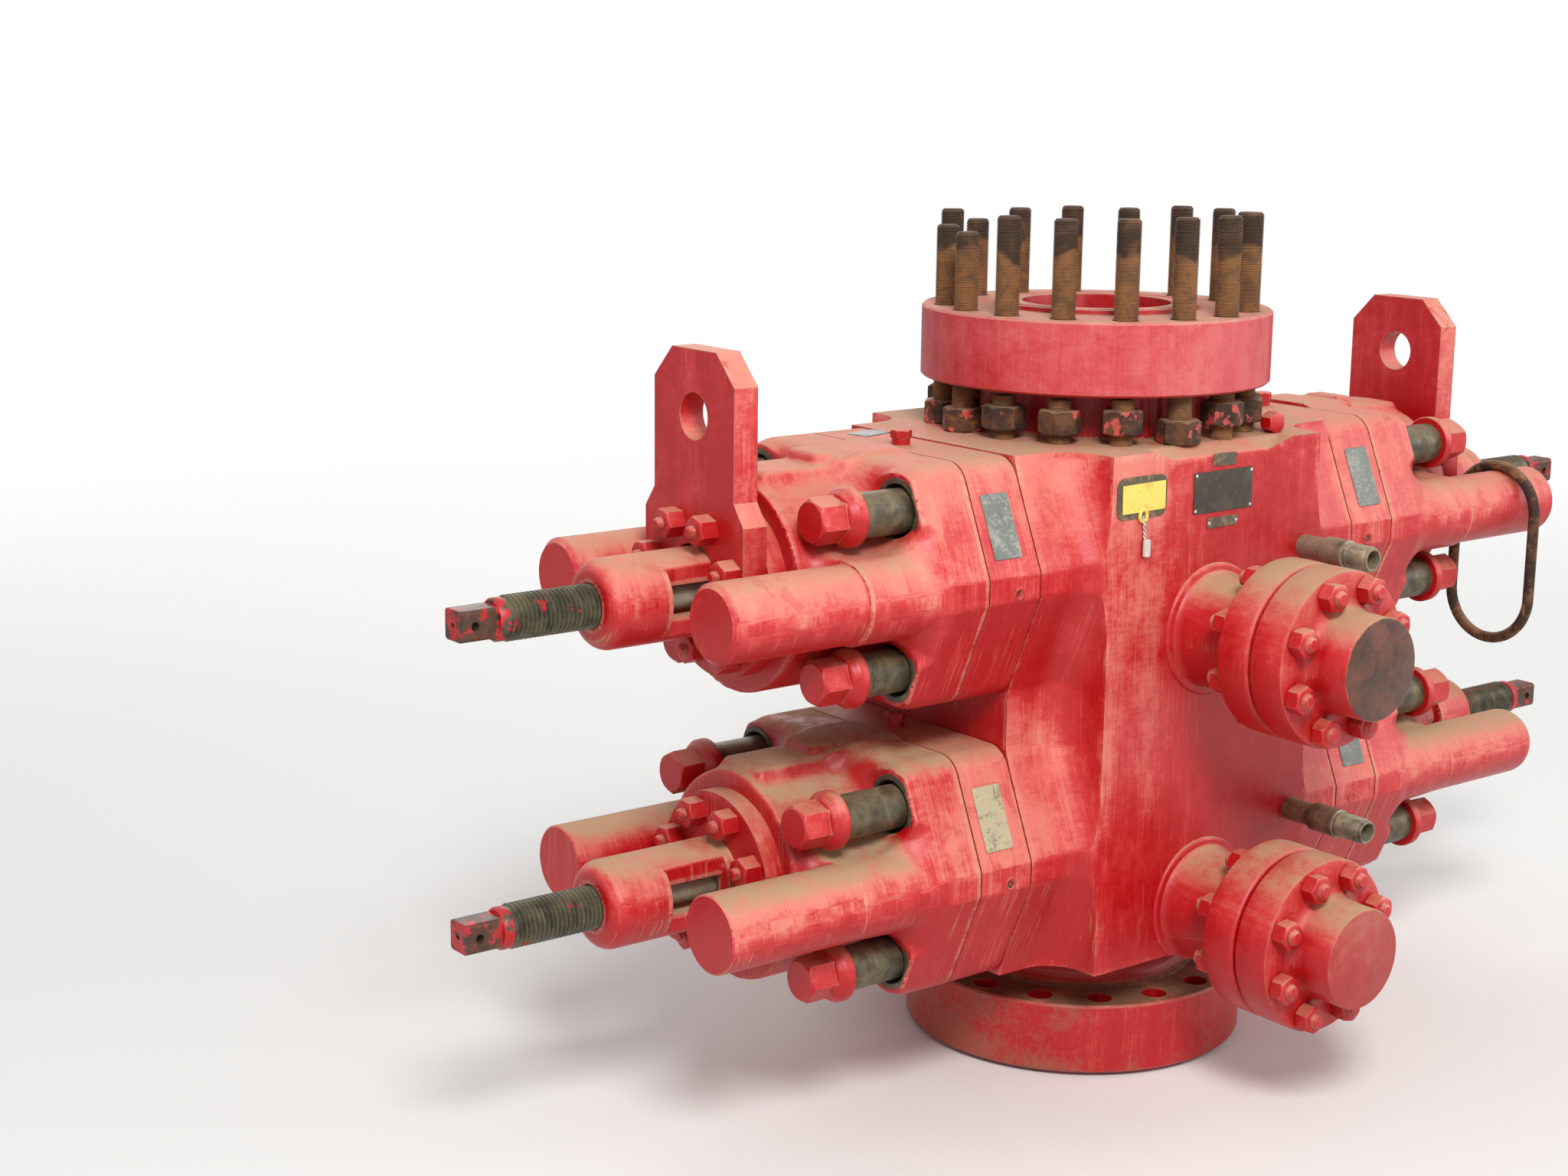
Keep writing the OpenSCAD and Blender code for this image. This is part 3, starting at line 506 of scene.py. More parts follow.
def build_paint_group():
    """Weathered paint. Sun bleaches what faces up and forward, rain draws streaks down the steep sides, dust settles on
    level tops and in hollows, and chips and bare flecks follow the edges. A streak is noise in plan, stretched in Z; on
    slopes it is noise on X alone, so that it runs straight down them."""
    group, w, given, out = new_group(
        "weathered_paint",
        [("Fresh", RED), ("Worn", WORN_RED), ("Faded", PINK), ("Dust", DUST), ("Fade", 0.5), ("Streaks", 0.5),
         ("Dusty", 0.5), ("Chips", 0.5), ("Edge", 0.0), ("Hollow", 0.0), ("Extra", 0.0)],
        ["Roughness", "Height"],
    )
    where, normal = w.place(), w.normal()
    x, y, z = w.parts(where)
    nx, ny, nz = w.parts(normal)
    skyward = w.vector("NORMALIZE", w.vector("ADD", normal, (0.15, -0.3, 0.8)))
    open_sky = w.add("AmbientOcclusion", {"Distance": 0.45, "Normal": skyward}, samples=4).outputs["AO"]
    shelter = w.step(open_sky, 0.8, 0.2)

    upright = w.step(w.sum("ABSOLUTE", nz), 0.30, 0.15)
    streak_place = w.joined(x, w.times(y, upright), w.times(z, 0.05))
    steep = w.step(w.sum("ABSOLUTE", nz), 0.95, 0.6)
    fine = w.times(w.swing(streak_place, 230, 3, 0.65), steep, given["Streaks"])
    broad = w.times(w.swing(streak_place, 26, 4, 0.6, 0.15), steep, given["Streaks"])

    cloud = w.swing(where, 4.5, 4, 0.6, 0.5)
    blotch = w.swing(where, 24, 6, 0.65)
    scuff = w.swing(w.vector("MULTIPLY", where, (1.0, 1.0, 2.6)), 55, 6, 0.7, 0.3, (5.0, 2.0, 8.0))
    sun = w.total((nz, 0.72), (ny, -0.22), (cloud, 1.0), (blotch, 0.75), (scuff, 0.5), (fine, 0.7), (broad, 0.9),
                  (shelter, -0.62), (given["Hollow"], -0.12), (given["Edge"], 0.3), (w.sum("ABSOLUTE", nx), -0.17),
                  given["Fade"], given["Extra"])
    worn = w.step(sun, 0.06, 0.46)
    faded = w.step(sun, 0.36, 0.86)
    chalk = w.step(sun, 0.85, 1.4)
    colour = w.blend(worn, given["Fresh"], given["Worn"])
    colour = w.blend(faded, colour, given["Faded"])
    colour = w.blend(w.times(chalk, 0.85), colour, CHALK)

    rubbed = w.step(w.noise(where, 11, 7, 0.62, 0.7, (3.1, 0.7, 1.9)), 0.60, 0.62)
    rubbed = w.times(rubbed, given["Chips"], 0.6)
    colour = w.blend(rubbed, colour, w.blend(0.5, given["Fresh"], given["Worn"]))
    speck = w.noise(where, 460, 3, 0.7)
    colour = w.blend(0.28, colour, w.grey(speck), "OVERLAY")

    level = w.step(nz, 0.5, 0.97)
    lying = w.step(w.total(cloud, blotch, (scuff, 0.6)), -0.35, 0.2, 0.3, 1.0)
    nook = w.times(given["Hollow"], w.step(nz, 0.0, 0.5), 0.7)
    settle = w.times(w.total((level, 1.15), nook), lying)
    under = w.step(nz, 0.1, -0.35, 0.25, 0.9)
    runs = w.times(w.step(w.total((broad, 1.4), (fine, 2.2), (shelter, 0.10)), 0.15, 0.60), under)
    dust = w.times(w.total(settle, runs), given["Dusty"], clamp=True)
    colour = w.blend(dust, colour, given["Dust"])

    ragged = w.total(given["Edge"], (blotch, 0.9), (scuff, 0.9))
    rim = w.times(w.step(ragged, 0.42, 0.75), given["Chips"])
    colour = w.blend(w.times(rim, 0.7), colour, srgb(0.78, 0.60, 0.50))
    pit = w.total(w.noise(where, 120, 6, 0.75, 0.0, (9.0, 2.0, 5.0)), (given["Edge"], 0.12), (given["Hollow"], 0.04))
    pit = w.times(w.step(pit, 0.685, 0.72), w.step(given["Chips"], 0.0, 0.5))
    colour = w.blend(w.times(pit, 0.8), colour, GRIME)
    w.feed(out["Color"], colour)

    rough = w.between(faded, 0.40, 0.70)
    rough = w.between(dust, rough, 0.92)
    w.feed(out["Roughness"], w.total(rough, (blotch, 0.25)))
    grain = w.noise(where, 130, 5, 0.65, 0.0, (1.0, 4.0, 2.0))
    w.feed(out["Height"], w.total((grain, 0.9), (speck, 0.25), (blotch, 0.9), (pit, -0.4), (rubbed, -0.3), (dust, 0.2)))
    return group


def build_rust_group():
    """Old iron: dark scale, brown rust in clouds, orange bloom where rain collects, and what is left of the red paint.
    Bands turn it dark above a wavering height near the studs' tips."""
    group, w, given, out = new_group(
        "rusty_iron",
        [("Dark", srgb(0.17, 0.105, 0.075)), ("Brown", srgb(0.40, 0.25, 0.145)), ("Bloom", srgb(0.70, 0.42, 0.15)),
         ("Rust", 0.5), ("Bloomed", 0.5), ("Paint", 0.3), ("Dusty", 0.3), ("Bands", 0.0)],
        ["Roughness", "Height"],
    )
    where = w.place()
    x, y, z = w.parts(where)
    nz = w.parts(w.normal())[2]
    cloud = w.noise(where, 22, 5, 0.6, 0.5)
    grain = w.noise(where, 330, 4, 0.7)
    patch = w.noise(where, 30, 5, 0.65, 0.8, (4.0, 1.0, 2.0))
    stepped = w.joined(w.times(x, 9.0), w.times(y, 9.0), z)
    line = w.step(w.total(z, (w.noise(stepped, 1.0, 2, 0.5, 0.0, (2.0, 5.0, 3.0)), 0.09)), 1.560, 1.575, 0.16, -0.16)
    band = w.times(line, given["Bands"])
    brown = w.step(w.total(cloud, (given["Rust"], 0.6), (band, 1.4)), 0.62, 0.92)
    colour = w.blend(brown, given["Dark"], given["Brown"])
    bloom = w.total(patch, (grain, 0.35), (given["Bloomed"], 0.5), (band, 1.2))
    colour = w.blend(w.step(bloom, 0.87, 1.12), colour, given["Bloom"])
    colour = w.blend(0.4, colour, w.grey(grain), "OVERLAY")
    paint = w.step(w.total(w.noise(where, 21, 6, 0.62, 0.3, (7.0, 8.0, 1.0)), (given["Paint"], 0.35)), 0.70, 0.72)
    colour = w.blend(paint, colour, w.blend(cloud, srgb(0.62, 0.05, 0.08), srgb(0.84, 0.40, 0.36)))
    dust = w.times(w.step(nz, 0.3, 0.95), given["Dusty"], w.step(cloud, 0.3, 0.6, 0.4, 1.0), clamp=True)
    colour = w.blend(dust, colour, DUST)
    w.feed(out["Color"], colour)
    w.feed(out["Roughness"], w.between(paint, w.step(grain, 0.2, 0.8, 0.7, 0.95), 0.55))
    w.feed(out["Height"], w.total((grain, 0.8), (paint, 0.4)))
    return group


def build_steel_group():
    """Oiled or bright steel: turning marks round the bar, oil stains in clouds, old paint and dry dust on top."""
    group, w, given, out = new_group(
        "oiled_steel",
        [("Oil", srgb(0.19, 0.175, 0.125)), ("Steel", srgb(0.42, 0.40, 0.31)), ("Stain", srgb(0.46, 0.34, 0.16)),
         ("Bright", 0.4), ("Stained", 0.4), ("Paint", 0.2), ("Dusty", 0.3)],
        ["Roughness", "Metallic", "Height"],
    )
    where = w.place()
    x = w.parts(where)[0]
    nz = w.parts(w.normal())[2]
    cloud = w.noise(where, 26, 5, 0.62, 0.6)
    grain = w.noise(where, 420, 3, 0.7)
    bands = w.noise(w.joined(x, 0.0, 0.0), 24, 3, 0.6)
    bright = w.step(w.total(cloud, (bands, 0.7), (given["Bright"], 0.7)), 0.98, 1.36)
    colour = w.blend(bright, given["Oil"], given["Steel"])
    stain = w.noise(where, 34, 6, 0.68, 0.5, (2.0, 6.0, 3.0))
    stain = w.step(w.total(stain, (given["Stained"], 0.5)), 0.75, 0.94)
    colour = w.blend(w.times(stain, 0.85), colour, given["Stain"])
    colour = w.blend(0.35, colour, w.grey(grain), "OVERLAY")
    paint = w.step(w.total(w.noise(where, 26, 6, 0.62, 0.3, (1.0, 8.0, 6.0)), (given["Paint"], 0.35)), 0.70, 0.72)
    colour = w.blend(paint, colour, srgb(0.70, 0.13, 0.13))
    dust = w.times(w.step(nz, 0.3, 1.0), given["Dusty"], w.step(cloud, 0.3, 0.6, 0.4, 1.0), clamp=True)
    colour = w.blend(dust, colour, srgb(0.58, 0.50, 0.38))
    w.feed(out["Color"], colour)
    cover = w.sum("ADD", w.sum("ADD", paint, dust), w.times(stain, 0.7), clamp=True)
    w.feed(out["Metallic"], w.times(w.sum("SUBTRACT", 1.0, cover), bright, 0.6))
    w.feed(out["Roughness"], w.between(cover, w.step(grain, 0.2, 0.8, 0.32, 0.52), 0.82))
    marks = w.noise(w.joined(x, 0.0, 0.0), 900, 2, 0.5)
    w.feed(out["Height"], w.total((marks, 0.4), (grain, 0.5)))
    return group


PAINT = build_paint_group()
RUST = build_rust_group()
STEEL = build_steel_group()


def new_material(name):
    """A new material, the wiring of its tree, and its shader."""
    made = bpy.data.materials.new(name)
    made.use_nodes = True
    return made, Wiring(made.node_tree), made.node_tree.nodes["Principled BSDF"]


def material(name, group, bump=0.35, extra=None, tint=None, marked=False, round_over=0.003, **values):
    """A material on one group: its colour, roughness, metallic and height feed the shader. A paint's worn edges come
    from the piece's own marks or, on a solid with crisp edges, from the lean of a rounded-over normal."""
    made, w, shader = new_material(name)
    core = w.add("Group")
    core.node_tree = group
    for key, value in values.items():
        w.feed(core.inputs[key], value)
    if extra:
        w.feed(core.inputs["Extra"], extra(w))
    bumped = w.add("Bump", {"Strength": bump, "Distance": 0.0015, "Height": core.outputs["Height"]})
    if marked:
        w.feed(core.inputs["Edge"], w.add("Attribute", attribute_name="worn").outputs["Fac"])
        w.feed(core.inputs["Hollow"], w.add("Attribute", attribute_name="hollow").outputs["Fac"])
    elif "Edge" in core.inputs:
        leaning = w.add("Bevel", {"Radius": round_over}, samples=3).outputs[0]
        lean = w.sum("SUBTRACT", 1.0, w.vector("DOT_PRODUCT", w.normal(), leaning))
        w.feed(core.inputs["Edge"], w.step(lean, 0.0, 0.12))
        w.feed(bumped.inputs["Normal"], leaning)
    colour = core.outputs["Color"]
    w.feed(shader.inputs["Base Color"], tint(w, colour) if tint else colour)
    w.feed(shader.inputs["Roughness"], core.outputs["Roughness"])
    if "Metallic" in core.outputs:
        w.feed(shader.inputs["Metallic"], core.outputs["Metallic"])
    w.feed(shader.inputs["Normal"], bumped.outputs[0])
    return made


def body_fade_and_painted_light(w):
    """More bleaching down the left part of the boss's front, on the slopes and between the left arms; less low down and
    at the right. The lighter left and the deeper red at the right are partly sun fading and partly painted light and
    shade, lighter on the side the light comes from."""
    x, y, z = w.parts(w.place())
    off_band = w.sum("ABSOLUTE", w.sum("ADD", x, 0.20))
    # Lighter at the left, deeper red on the front's right part: partly fading, partly painted light and shade.
    band = w.times(w.step(off_band, 0.15, 0.02), w.step(z, 0.42, 0.80))
    front = w.times(w.step(y, -0.325, -0.33), w.step(x, -0.12, 0.20), -0.16)
    high = w.times(w.step(z, 1.0, 1.16), w.step(x, 0.0, -0.35), 0.22)
    low = w.times(w.step(z, 0.50, 0.25), -0.20)
    off_middle = w.sum("ABSOLUTE", w.sum("SUBTRACT", z, 0.68))
    between_arms = w.times(w.step(off_middle, 0.10, 0.0), w.step(x, -0.24, -0.31), 0.35)
    slopes = w.times(w.step(w.parts(w.normal())[2], 0.3, 0.7), w.step(x, -0.27, -0.31), 0.26)
    return w.total((band, 0.45), front, high, low, between_arms, slopes)


def end_face_tint(w, colour):
    """The blind flanges' bosses are bare and dark olive brown on their outer ends. The upper ends take this colour in
    full. The lower ends take a third of it as painted shade, which deepens their red.
    """
    where = w.place()
    y = w.parts(where)[1]
    out = w.total(w.sum("ABSOLUTE", y), (w.swing(where, 40, 5, 0.65), 0.004))
    cloud = w.noise(where, 30, 6, 0.65, 0.5)
    bare = w.blend(w.step(cloud, 0.3, 0.7), srgb(0.25, 0.17, 0.13), srgb(0.42, 0.24, 0.18))
    # Full bare colour on the upper ends; on the lower ends a third of it, which is painted shade.
    upper = w.step(w.parts(where)[2], 0.60, 0.62, 0.35, 1.0)
    return w.blend(w.times(w.step(out, 0.7160, 0.7172), upper), colour, bare)


def screw_tint(w, colour):
    """The plain shank in the slot is wiped grey steel, the square end is dark brown, and both ends of the square and
    the collar still have red paint. along is the place on the screw itself, from whichever side it is."""
    where = w.place()
    x = w.parts(where)[0]
    along = w.sum("SUBTRACT", w.sum("ABSOLUTE", x), w.times(w.step(x, -0.1, 0.1), 0.024))
    grey = w.blend(w.noise(where, 60, 5, 0.6), srgb(0.52, 0.51, 0.43), srgb(0.70, 0.69, 0.60))
    colour = w.blend(w.times(w.step(along, 1.032, 1.028), 0.9), colour, grey)
    patch = w.noise(where, 45, 5, 0.65, 0.3, (3.0, 4.0, 1.0))
    dark = w.blend(w.step(patch, 0.35, 0.6), srgb(0.24, 0.16, 0.12), srgb(0.36, 0.20, 0.15))
    colour = w.blend(w.times(w.step(along, 1.316, 1.320), 0.85), colour, dark)
    collar, end = w.step(along, 1.330, 1.322), w.step(along, 1.388, 1.3895)
    red = w.times(w.step(along, 1.300, 1.304), w.step(w.total(patch, (collar, 0.16), (end, 0.12)), 0.58, 0.61))
    return w.blend(red, colour, srgb(0.70, 0.13, 0.14))


def base_tint(w, colour):
    """Olive dust lies thick on the bottom flange's top face, and tan mud has splashed its rim, most at the left."""
    where = w.place()
    nz = w.parts(w.normal())[2]
    x, _, z = w.parts(where)
    lie = w.times(w.step(nz, 0.6, 0.95), w.step(w.noise(where, 18, 6, 0.65), 0.2, 0.55))
    rim = w.step(w.vector("LENGTH", w.vector("MULTIPLY", where, (1, 1, 0))), 0.318, 0.322)
    splash = w.total((w.noise(where, 9, 4, 0.6, 0.4), 0.5), (w.noise(where, 90, 6, 0.75, 0.3, (4.0, 2.0, 9.0)), 0.5),
                     (w.step(z, 0.08, 0.0), 0.10), (w.step(x, -0.12, -0.32), 0.14))
    colour = w.blend(w.times(w.step(splash, 0.54, 0.74), rim, 0.6), colour, srgb(0.56, 0.38, 0.29))
    return w.blend(w.times(lie, 0.9), colour, srgb(0.40, 0.33, 0.23))


BODY = material("body_paint", PAINT, Fade=0.10, Streaks=0.7, Dusty=0.75, Chips=0.3, extra=body_fade_and_painted_light, marked=True)
ARMS = material("bonnet_paint", PAINT, Fade=0.24, Streaks=0.9, Dusty=0.50, Chips=0.55, marked=True)
LOWER_ARMS = material("lower_bonnet_paint", PAINT, Fade=0.18, Streaks=0.9, Dusty=1.0, Chips=0.5, marked=True)
FLANGES = material("flange_paint", PAINT, Fade=0.24, Streaks=1.0, Dusty=0.60, Chips=0.5)
HARDWARE = material("fastener_paint", PAINT, Fade=0.10, Streaks=0.3, Dusty=0.45, Chips=0.9, round_over=0.002)
RING = material("ring_flange_paint", PAINT, Fade=0.46, Streaks=0.6, Dusty=0.55, Chips=0.5,
                Faded=srgb(0.80, 0.38, 0.38), Worn=srgb(0.76, 0.24, 0.26))
BASE = material("bottom_flange_paint", PAINT, Fade=0.20, Streaks=0.6, Dusty=0.6, Chips=0.5, tint=base_tint)
OUTLET = material("outlet_paint", PAINT, Fade=0.26, Streaks=0.6, Dusty=0.85, Chips=0.6,
                  Faded=srgb(0.78, 0.42, 0.37), tint=end_face_tint)
LIFTING = material("lifting_plate_paint", PAINT, Fade=0.36, Streaks=0.7, Dusty=0.35, Chips=1.0)
STUDS = material("stud_rust", RUST, bump=0.3, Rust=0.55, Bloomed=0.36, Paint=-0.1, Dusty=0.10, Bands=0.8,
                 Brown=srgb(0.42, 0.29, 0.19), Bloom=srgb(0.55, 0.37, 0.21), Dark=srgb(0.23, 0.155, 0.11))
NUTS = material("nut_rust", RUST, bump=0.6, Rust=0.42, Bloomed=0.22, Paint=0.42, Dusty=0.45)
HANGER = material("ring_rust", RUST, bump=0.5, Rust=0.30, Bloomed=0.45, Paint=-0.2, Dusty=0.35,
                  Bloom=srgb(0.55, 0.38, 0.22))
SHANKS = material("bolt_olive", STEEL, bump=0.25, Bright=0.40, Stained=0.42, Paint=0.0, Dusty=0.40,
                  Oil=srgb(0.22, 0.19, 0.135), Steel=srgb(0.46, 0.42, 0.32), Stain=srgb(0.40, 0.29, 0.17))
SCREWS = material("screw_olive", STEEL, bump=0.3, Bright=0.42, Stained=0.36, Paint=0.20, Dusty=0.25, tint=screw_tint)
NIPPLES = material("nipple_steel", STEEL, Bright=0.6, Stained=0.5, Paint=0.05, Dusty=0.2,
                   Steel=srgb(0.60, 0.57, 0.48), Stain=srgb(0.52, 0.27, 0.12))


def sheet_metal(name, base, patch, amount, rough=0.45, scale=60):
    """A thin plate's finish: two greys or colours in a fine mottle, with grime creeping in."""
    made, w, shader = new_material(name)
    where = w.place()
    mottle = w.noise(where, scale, 6, 0.75, 0.4)
    broad = w.noise(where, 22, 4, 0.6, 0.6, (3.0, 1.0, 7.0))
    colour = w.blend(w.step(w.total(mottle, (broad, 0.6)), 0.95 - amount * 0.4, 1.05 - amount * 0.2), base, patch)
    speck = w.noise(where, 500, 3, 0.7)
    colour = w.blend(0.35, colour, w.grey(speck), "OVERLAY")
    grime = w.step(w.noise(where, 90, 6, 0.7, 0.0, (8.0, 3.0, 1.0)), 0.60, 0.66)
    colour = w.blend(w.times(grime, 0.6), colour, GRIME)
    w.feed(shader.inputs["Base Color"], colour)
    w.feed(shader.inputs["Roughness"], w.step(mottle, 0.2, 0.8, rough - 0.1, rough + 0.2))
    bumped = w.add("Bump", {"Strength": 0.3, "Distance": 0.0008, "Height": w.total(mottle, speck)})
    w.feed(shader.inputs["Normal"], bumped.outputs[0])
    return made


ZINC = sheet_metal("galvanised_plate", srgb(0.42, 0.44, 0.42), srgb(0.60, 0.60, 0.55), 0.5, scale=150)
PALE_ZINC = sheet_metal("pale_plate", srgb(0.72, 0.68, 0.55), srgb(0.48, 0.47, 0.40), 0.3, scale=70)
DARK_PLATE = sheet_metal("dark_nameplate", srgb(0.22, 0.19, 0.15), srgb(0.30, 0.26, 0.20), 0.5, scale=45)
YELLOW = sheet_metal("yellow_tag", srgb(0.93, 0.83, 0.40), srgb(0.86, 0.74, 0.36), 0.35, scale=40)
OLD_SPOT = sheet_metal("bare_spot", srgb(0.33, 0.29, 0.22), srgb(0.55, 0.45, 0.34), 0.4, scale=70)
SILVER = sheet_metal("silver_seal", srgb(0.80, 0.79, 0.76), srgb(0.66, 0.65, 0.62), 0.3, rough=0.35, scale=90)
SOCKET_RIM = sheet_metal("machined_rim", srgb(0.25, 0.23, 0.18), srgb(0.42, 0.36, 0.27), 0.4, scale=60)


def dress(prefixes, made):
    """Puts a finish on every CAD node whose name starts with one of the prefixes."""
    for name, obj in nodes.items():
        if name.startswith(tuple(prefixes)):
            obj.data.materials.clear()
            obj.data.materials.append(made)


dress(["upper_", "lower_"], FLANGES)
dress(["left_lifting", "right_lifting"], LIFTING)
dress(["body", "base_"], BASE)
dress(["adapter_flange"], RING)
dress(["hanging_ring"], HANGER)

arm_paint = {UPPER: ARMS, LOWER: LOWER_ARMS}
castings = {}
for level, tapered in ((UPPER, False), (LOWER, True)):
    low, high = (BONNET_IN, -ARM_WIDTH, -ARM_HEIGHT), (BARREL_END, ARM_WIDTH, 0.221)
    shape = skin(lambda x, y, z: cast_bonnet(x, y, z, tapered), low, high, BONNET_CELL)
    castings[level] = shape, wear_marks(lambda x, y, z: cast_bonnet(x, y, z, tapered, False), shape[0])
housing_skin = skin(screw_nose, (HOUSING_IN, -HOUSING_R, -HOUSING_R), (HOUSING_END, HOUSING_R, HOUSING_R), HOUSING_CELL)
housing_marks = wear_marks(screw_nose, housing_skin[0])
square_skin = skin(screw_square, (SQUARE_IN, -SQUARE, -SQUARE), (SCREW_END, SQUARE, SQUARE), SQUARE_CELL)
for corner in CORNERS:
    _, _, level = corner
    (shape, marks), arms = castings[level], arm_paint[level]
    corner_piece(corner, "casting", [shape], arms, "bonnet_paint", "bonnet", marks=marks, sharp=50)
    corner_piece(corner, "screw_nose", [housing_skin], arms, "bonnet_paint", "housing", marks=housing_marks, sharp=50)


def change_cylinder(y, nose, turns, flat):
    """A bar with a rounded nose. A flat strip can be milled along its outer side, a little above its middle."""
    t = np.linspace(0, np.pi / 2, turns + 1)
    line = [(CYLINDER_END - nose + nose * math.sin(a), CYLINDER_R - nose + nose * math.cos(a)) for a in t]
    points, quads = along_x(lathe([(0.60, CYLINDER_R)] + line, 120), (0, y, 0))
    if flat:
        lean = math.radians(14.6)
        out = np.array([0, math.copysign(math.cos(lean), y), math.sin(lean)])
        over = np.maximum((points - (0, y, 0)) @ out - 0.0664, 0)
        points = points - over[:, None] * out
    return points, quads


for corner in CORNERS:
    _, side, level = corner
    nose, turns = (0.009, 1) if level == UPPER else (0.003, 1) if side == LEFT else (0.034, 5)
    bars = [change_cylinder(y, nose, turns, level == LOWER and y * side < 0) for y in (-CYLINDER_Y, CYLINDER_Y)]
    corner_piece(corner, "change_cylinders", bars, arm_paint[level], "bonnet_paint", "cylinders", sharp=20)

body_skin = skin(ram_body, (-ARM_END, -BOSS_DEPTH, BODY_BOTTOM), (ARM_END, BOSS_DEPTH, HUB_TOP), BODY_CELL)
piece("ram_body", [body_skin], BODY, "body_paint", ["body"], marks=wear_marks(ram_body, body_skin[0]), sharp=50)

# How far each stud stands over the ring flange and each nut over the body, in mm, from the right round by the rear.
# The lower lengths of the short studs end 18 mm over their nuts.
STUD_STAND = [174, 166, 168, 165, 147, 171, 148, 142, 177, 176, 178, 180, 180, 181, 175, 175]
NUT_LIFT = [10, 22, 16, 8, 24, 14, 0, 0, 17, 17, 20, 0, 25, 20, 12, 18]
SHORT_STUDS = (8, 9, 10, 12)
STUD_CIRCLE_R, STUD_R, STUD_PITCH, STUD_DEPTH, OVERLAP = 0.565150 / 2, 0.0222, 0.0032, 0.0019, 0.006
stud_shapes, nut_shapes = [], []
for i, ((x, y), stand, lift) in enumerate(zip(bolt_circle(16, STUD_CIRCLE_R), STUD_STAND, NUT_LIFT)):
    nut_low = BODY_TOP + lift / 1000
    below = nut_low + 0.062 if i in SHORT_STUDS else RING_BOTTOM + OVERLAP
    for low, high, radius in ((RING_TOP - OVERLAP, RING_TOP + stand / 1000, STUD_R),
                              (BODY_TOP - OVERLAP, below, STUD_R - 0.0003)):
        stud_shapes += [stood(s, (x, y, 0)) for s in stud(low, high, radius, STUD_PITCH, STUD_DEPTH)]
    nut_shapes.append(stood(turned(hexagon(0.044, 0.06985), 17 * i + 30), (x, y, nut_low)))
piece("ring_studs", stud_shapes, STUDS, "stud_rust", ["top_studs"])
piece("ring_nuts", nut_shapes, NUTS, "nut_rust", ["top_nuts"])

# Ends of the four bonnet bolts' heads along the ram axis, in mm, in the order of SOCKETS.
BOLT_ENDS = {
    "upper_left": [830, 830, 828, 819], "upper_right": [836, 836, 836, 836],
    "lower_left": [837, 837, 855, 838], "lower_right": [836, 822, 836, 836],
}
HEAD_LENGTH = 0.086
COLLAR = [(0, 0.043), (0.0005, 0.0505), (0.003, 0.052), (0.017, 0.0515), (0.022, 0.0485), (0.026, 0.0445),
          (0.030, 0.0425), (0.033, 0.038)]
SCREW_BAR = [(0.850, 0.024), (0.853, 0.027), (1.030, 0.027), (1.033, 0.0332), (1.302, 0.0332), (1.303, 0.036),
             (1.316, 0.036), (1.3205, 0.0325)]
screw_shapes = [along_x(thread(1.034, 1.303, 0.0381, 0.0085, 0.0048, 32), (0, 0, 0)),
                along_x(lathe(SCREW_BAR), (0, 0, 0)), square_skin]
for corner in CORNERS:
    label, side, level = corner
    shanks, heads, fittings = [], [], []
    for i, ((y, z), end) in enumerate(zip(SOCKETS, BOLT_ENDS[label])):
        seat = end / 1000 - HEAD_LENGTH
        shanks.append(along_x(lathe([(0.590, 0.036), (0.590, SHANK_R), (seat + 0.002, SHANK_R)]), (0, y, z)))
        hexagon_head = turned(hexagon(0.058, 0.0700, both=False, chamfer=42, per_side=8), 7 * i)
        heads += [along_x(lathe(COLLAR, 56), (seat, y, z)), along_x(hexagon_head, (seat + 0.028, y, z))]
    corner_piece(corner, "bolt_shanks", shanks, SHANKS, "bolt_olive", "bolts")
    corner_piece(corner, "bolt_heads", heads, HARDWARE, "bonnet_paint", "bolts")

    # The upper four nuts of an upper head stand on the lifting plate.
    for i, (y, z) in enumerate(bolt_circle(8, 0.122)):
        seat = HOUSING_IN + (0.048 if i < 4 and level == UPPER else 0)
        fittings.append(along_x(turned(hexagon(0.034, 0.046, both=False), 11 * i), (seat, y, z)))
        fittings += [along_x(s, (0, y, z)) for s in stud(seat + 0.03, seat + 0.046, 0.011, 0.003, 0.0015, 16, 0.0025)]
    corner_piece(corner, "head_studs", fittings, HARDWARE, "bonnet_paint", "head_nuts")
    run_out = (0.024 if side == RIGHT else 0.0, 0, 0)
    corner_piece(corner, "locking_screw", [stood(s, run_out) for s in screw_shapes], SCREWS, "screw_olive", "screw",
                 body=f"{label}_screw_body")

SPOOL = [(0.333, 0.1135), (0.3365, 0.1085), (0.342, 0.1045), (0.352, 0.102), (0.465, 0.0915), (0.478, 0.0925),
         (0.485, 0.098), (0.487, 0.106), (0.487, 0.154), (0.4885, 0.157), (0.492, 0.158), (0.549, 0.158),
         (0.553, 0.1568), (0.5555, 0.1535), (0.556, 0.150), (0.556, 0.108)]
BLIND = [(0.556, 0.1075), (0.560, 0.1075), (0.560, 0.150), (0.5605, 0.1535), (0.563, 0.1568), (0.567, 0.158),
         (0.627, 0.158), (0.6315, 0.1565), (0.633, 0.152), (0.633, 0.112), (0.635, 0.103), (0.640, 0.0965),
         (0.649, 0.0925), (0.662, 0.091), (0.713, 0.091), (0.7165, 0.0895), (0.718, 0.086)]
PAD = [(0.322, 0.1225), (0.331, 0.1225), (0.3342, 0.1205), (0.336, 0.116)]
pads, necks, covers, bolting = [], [], [], []
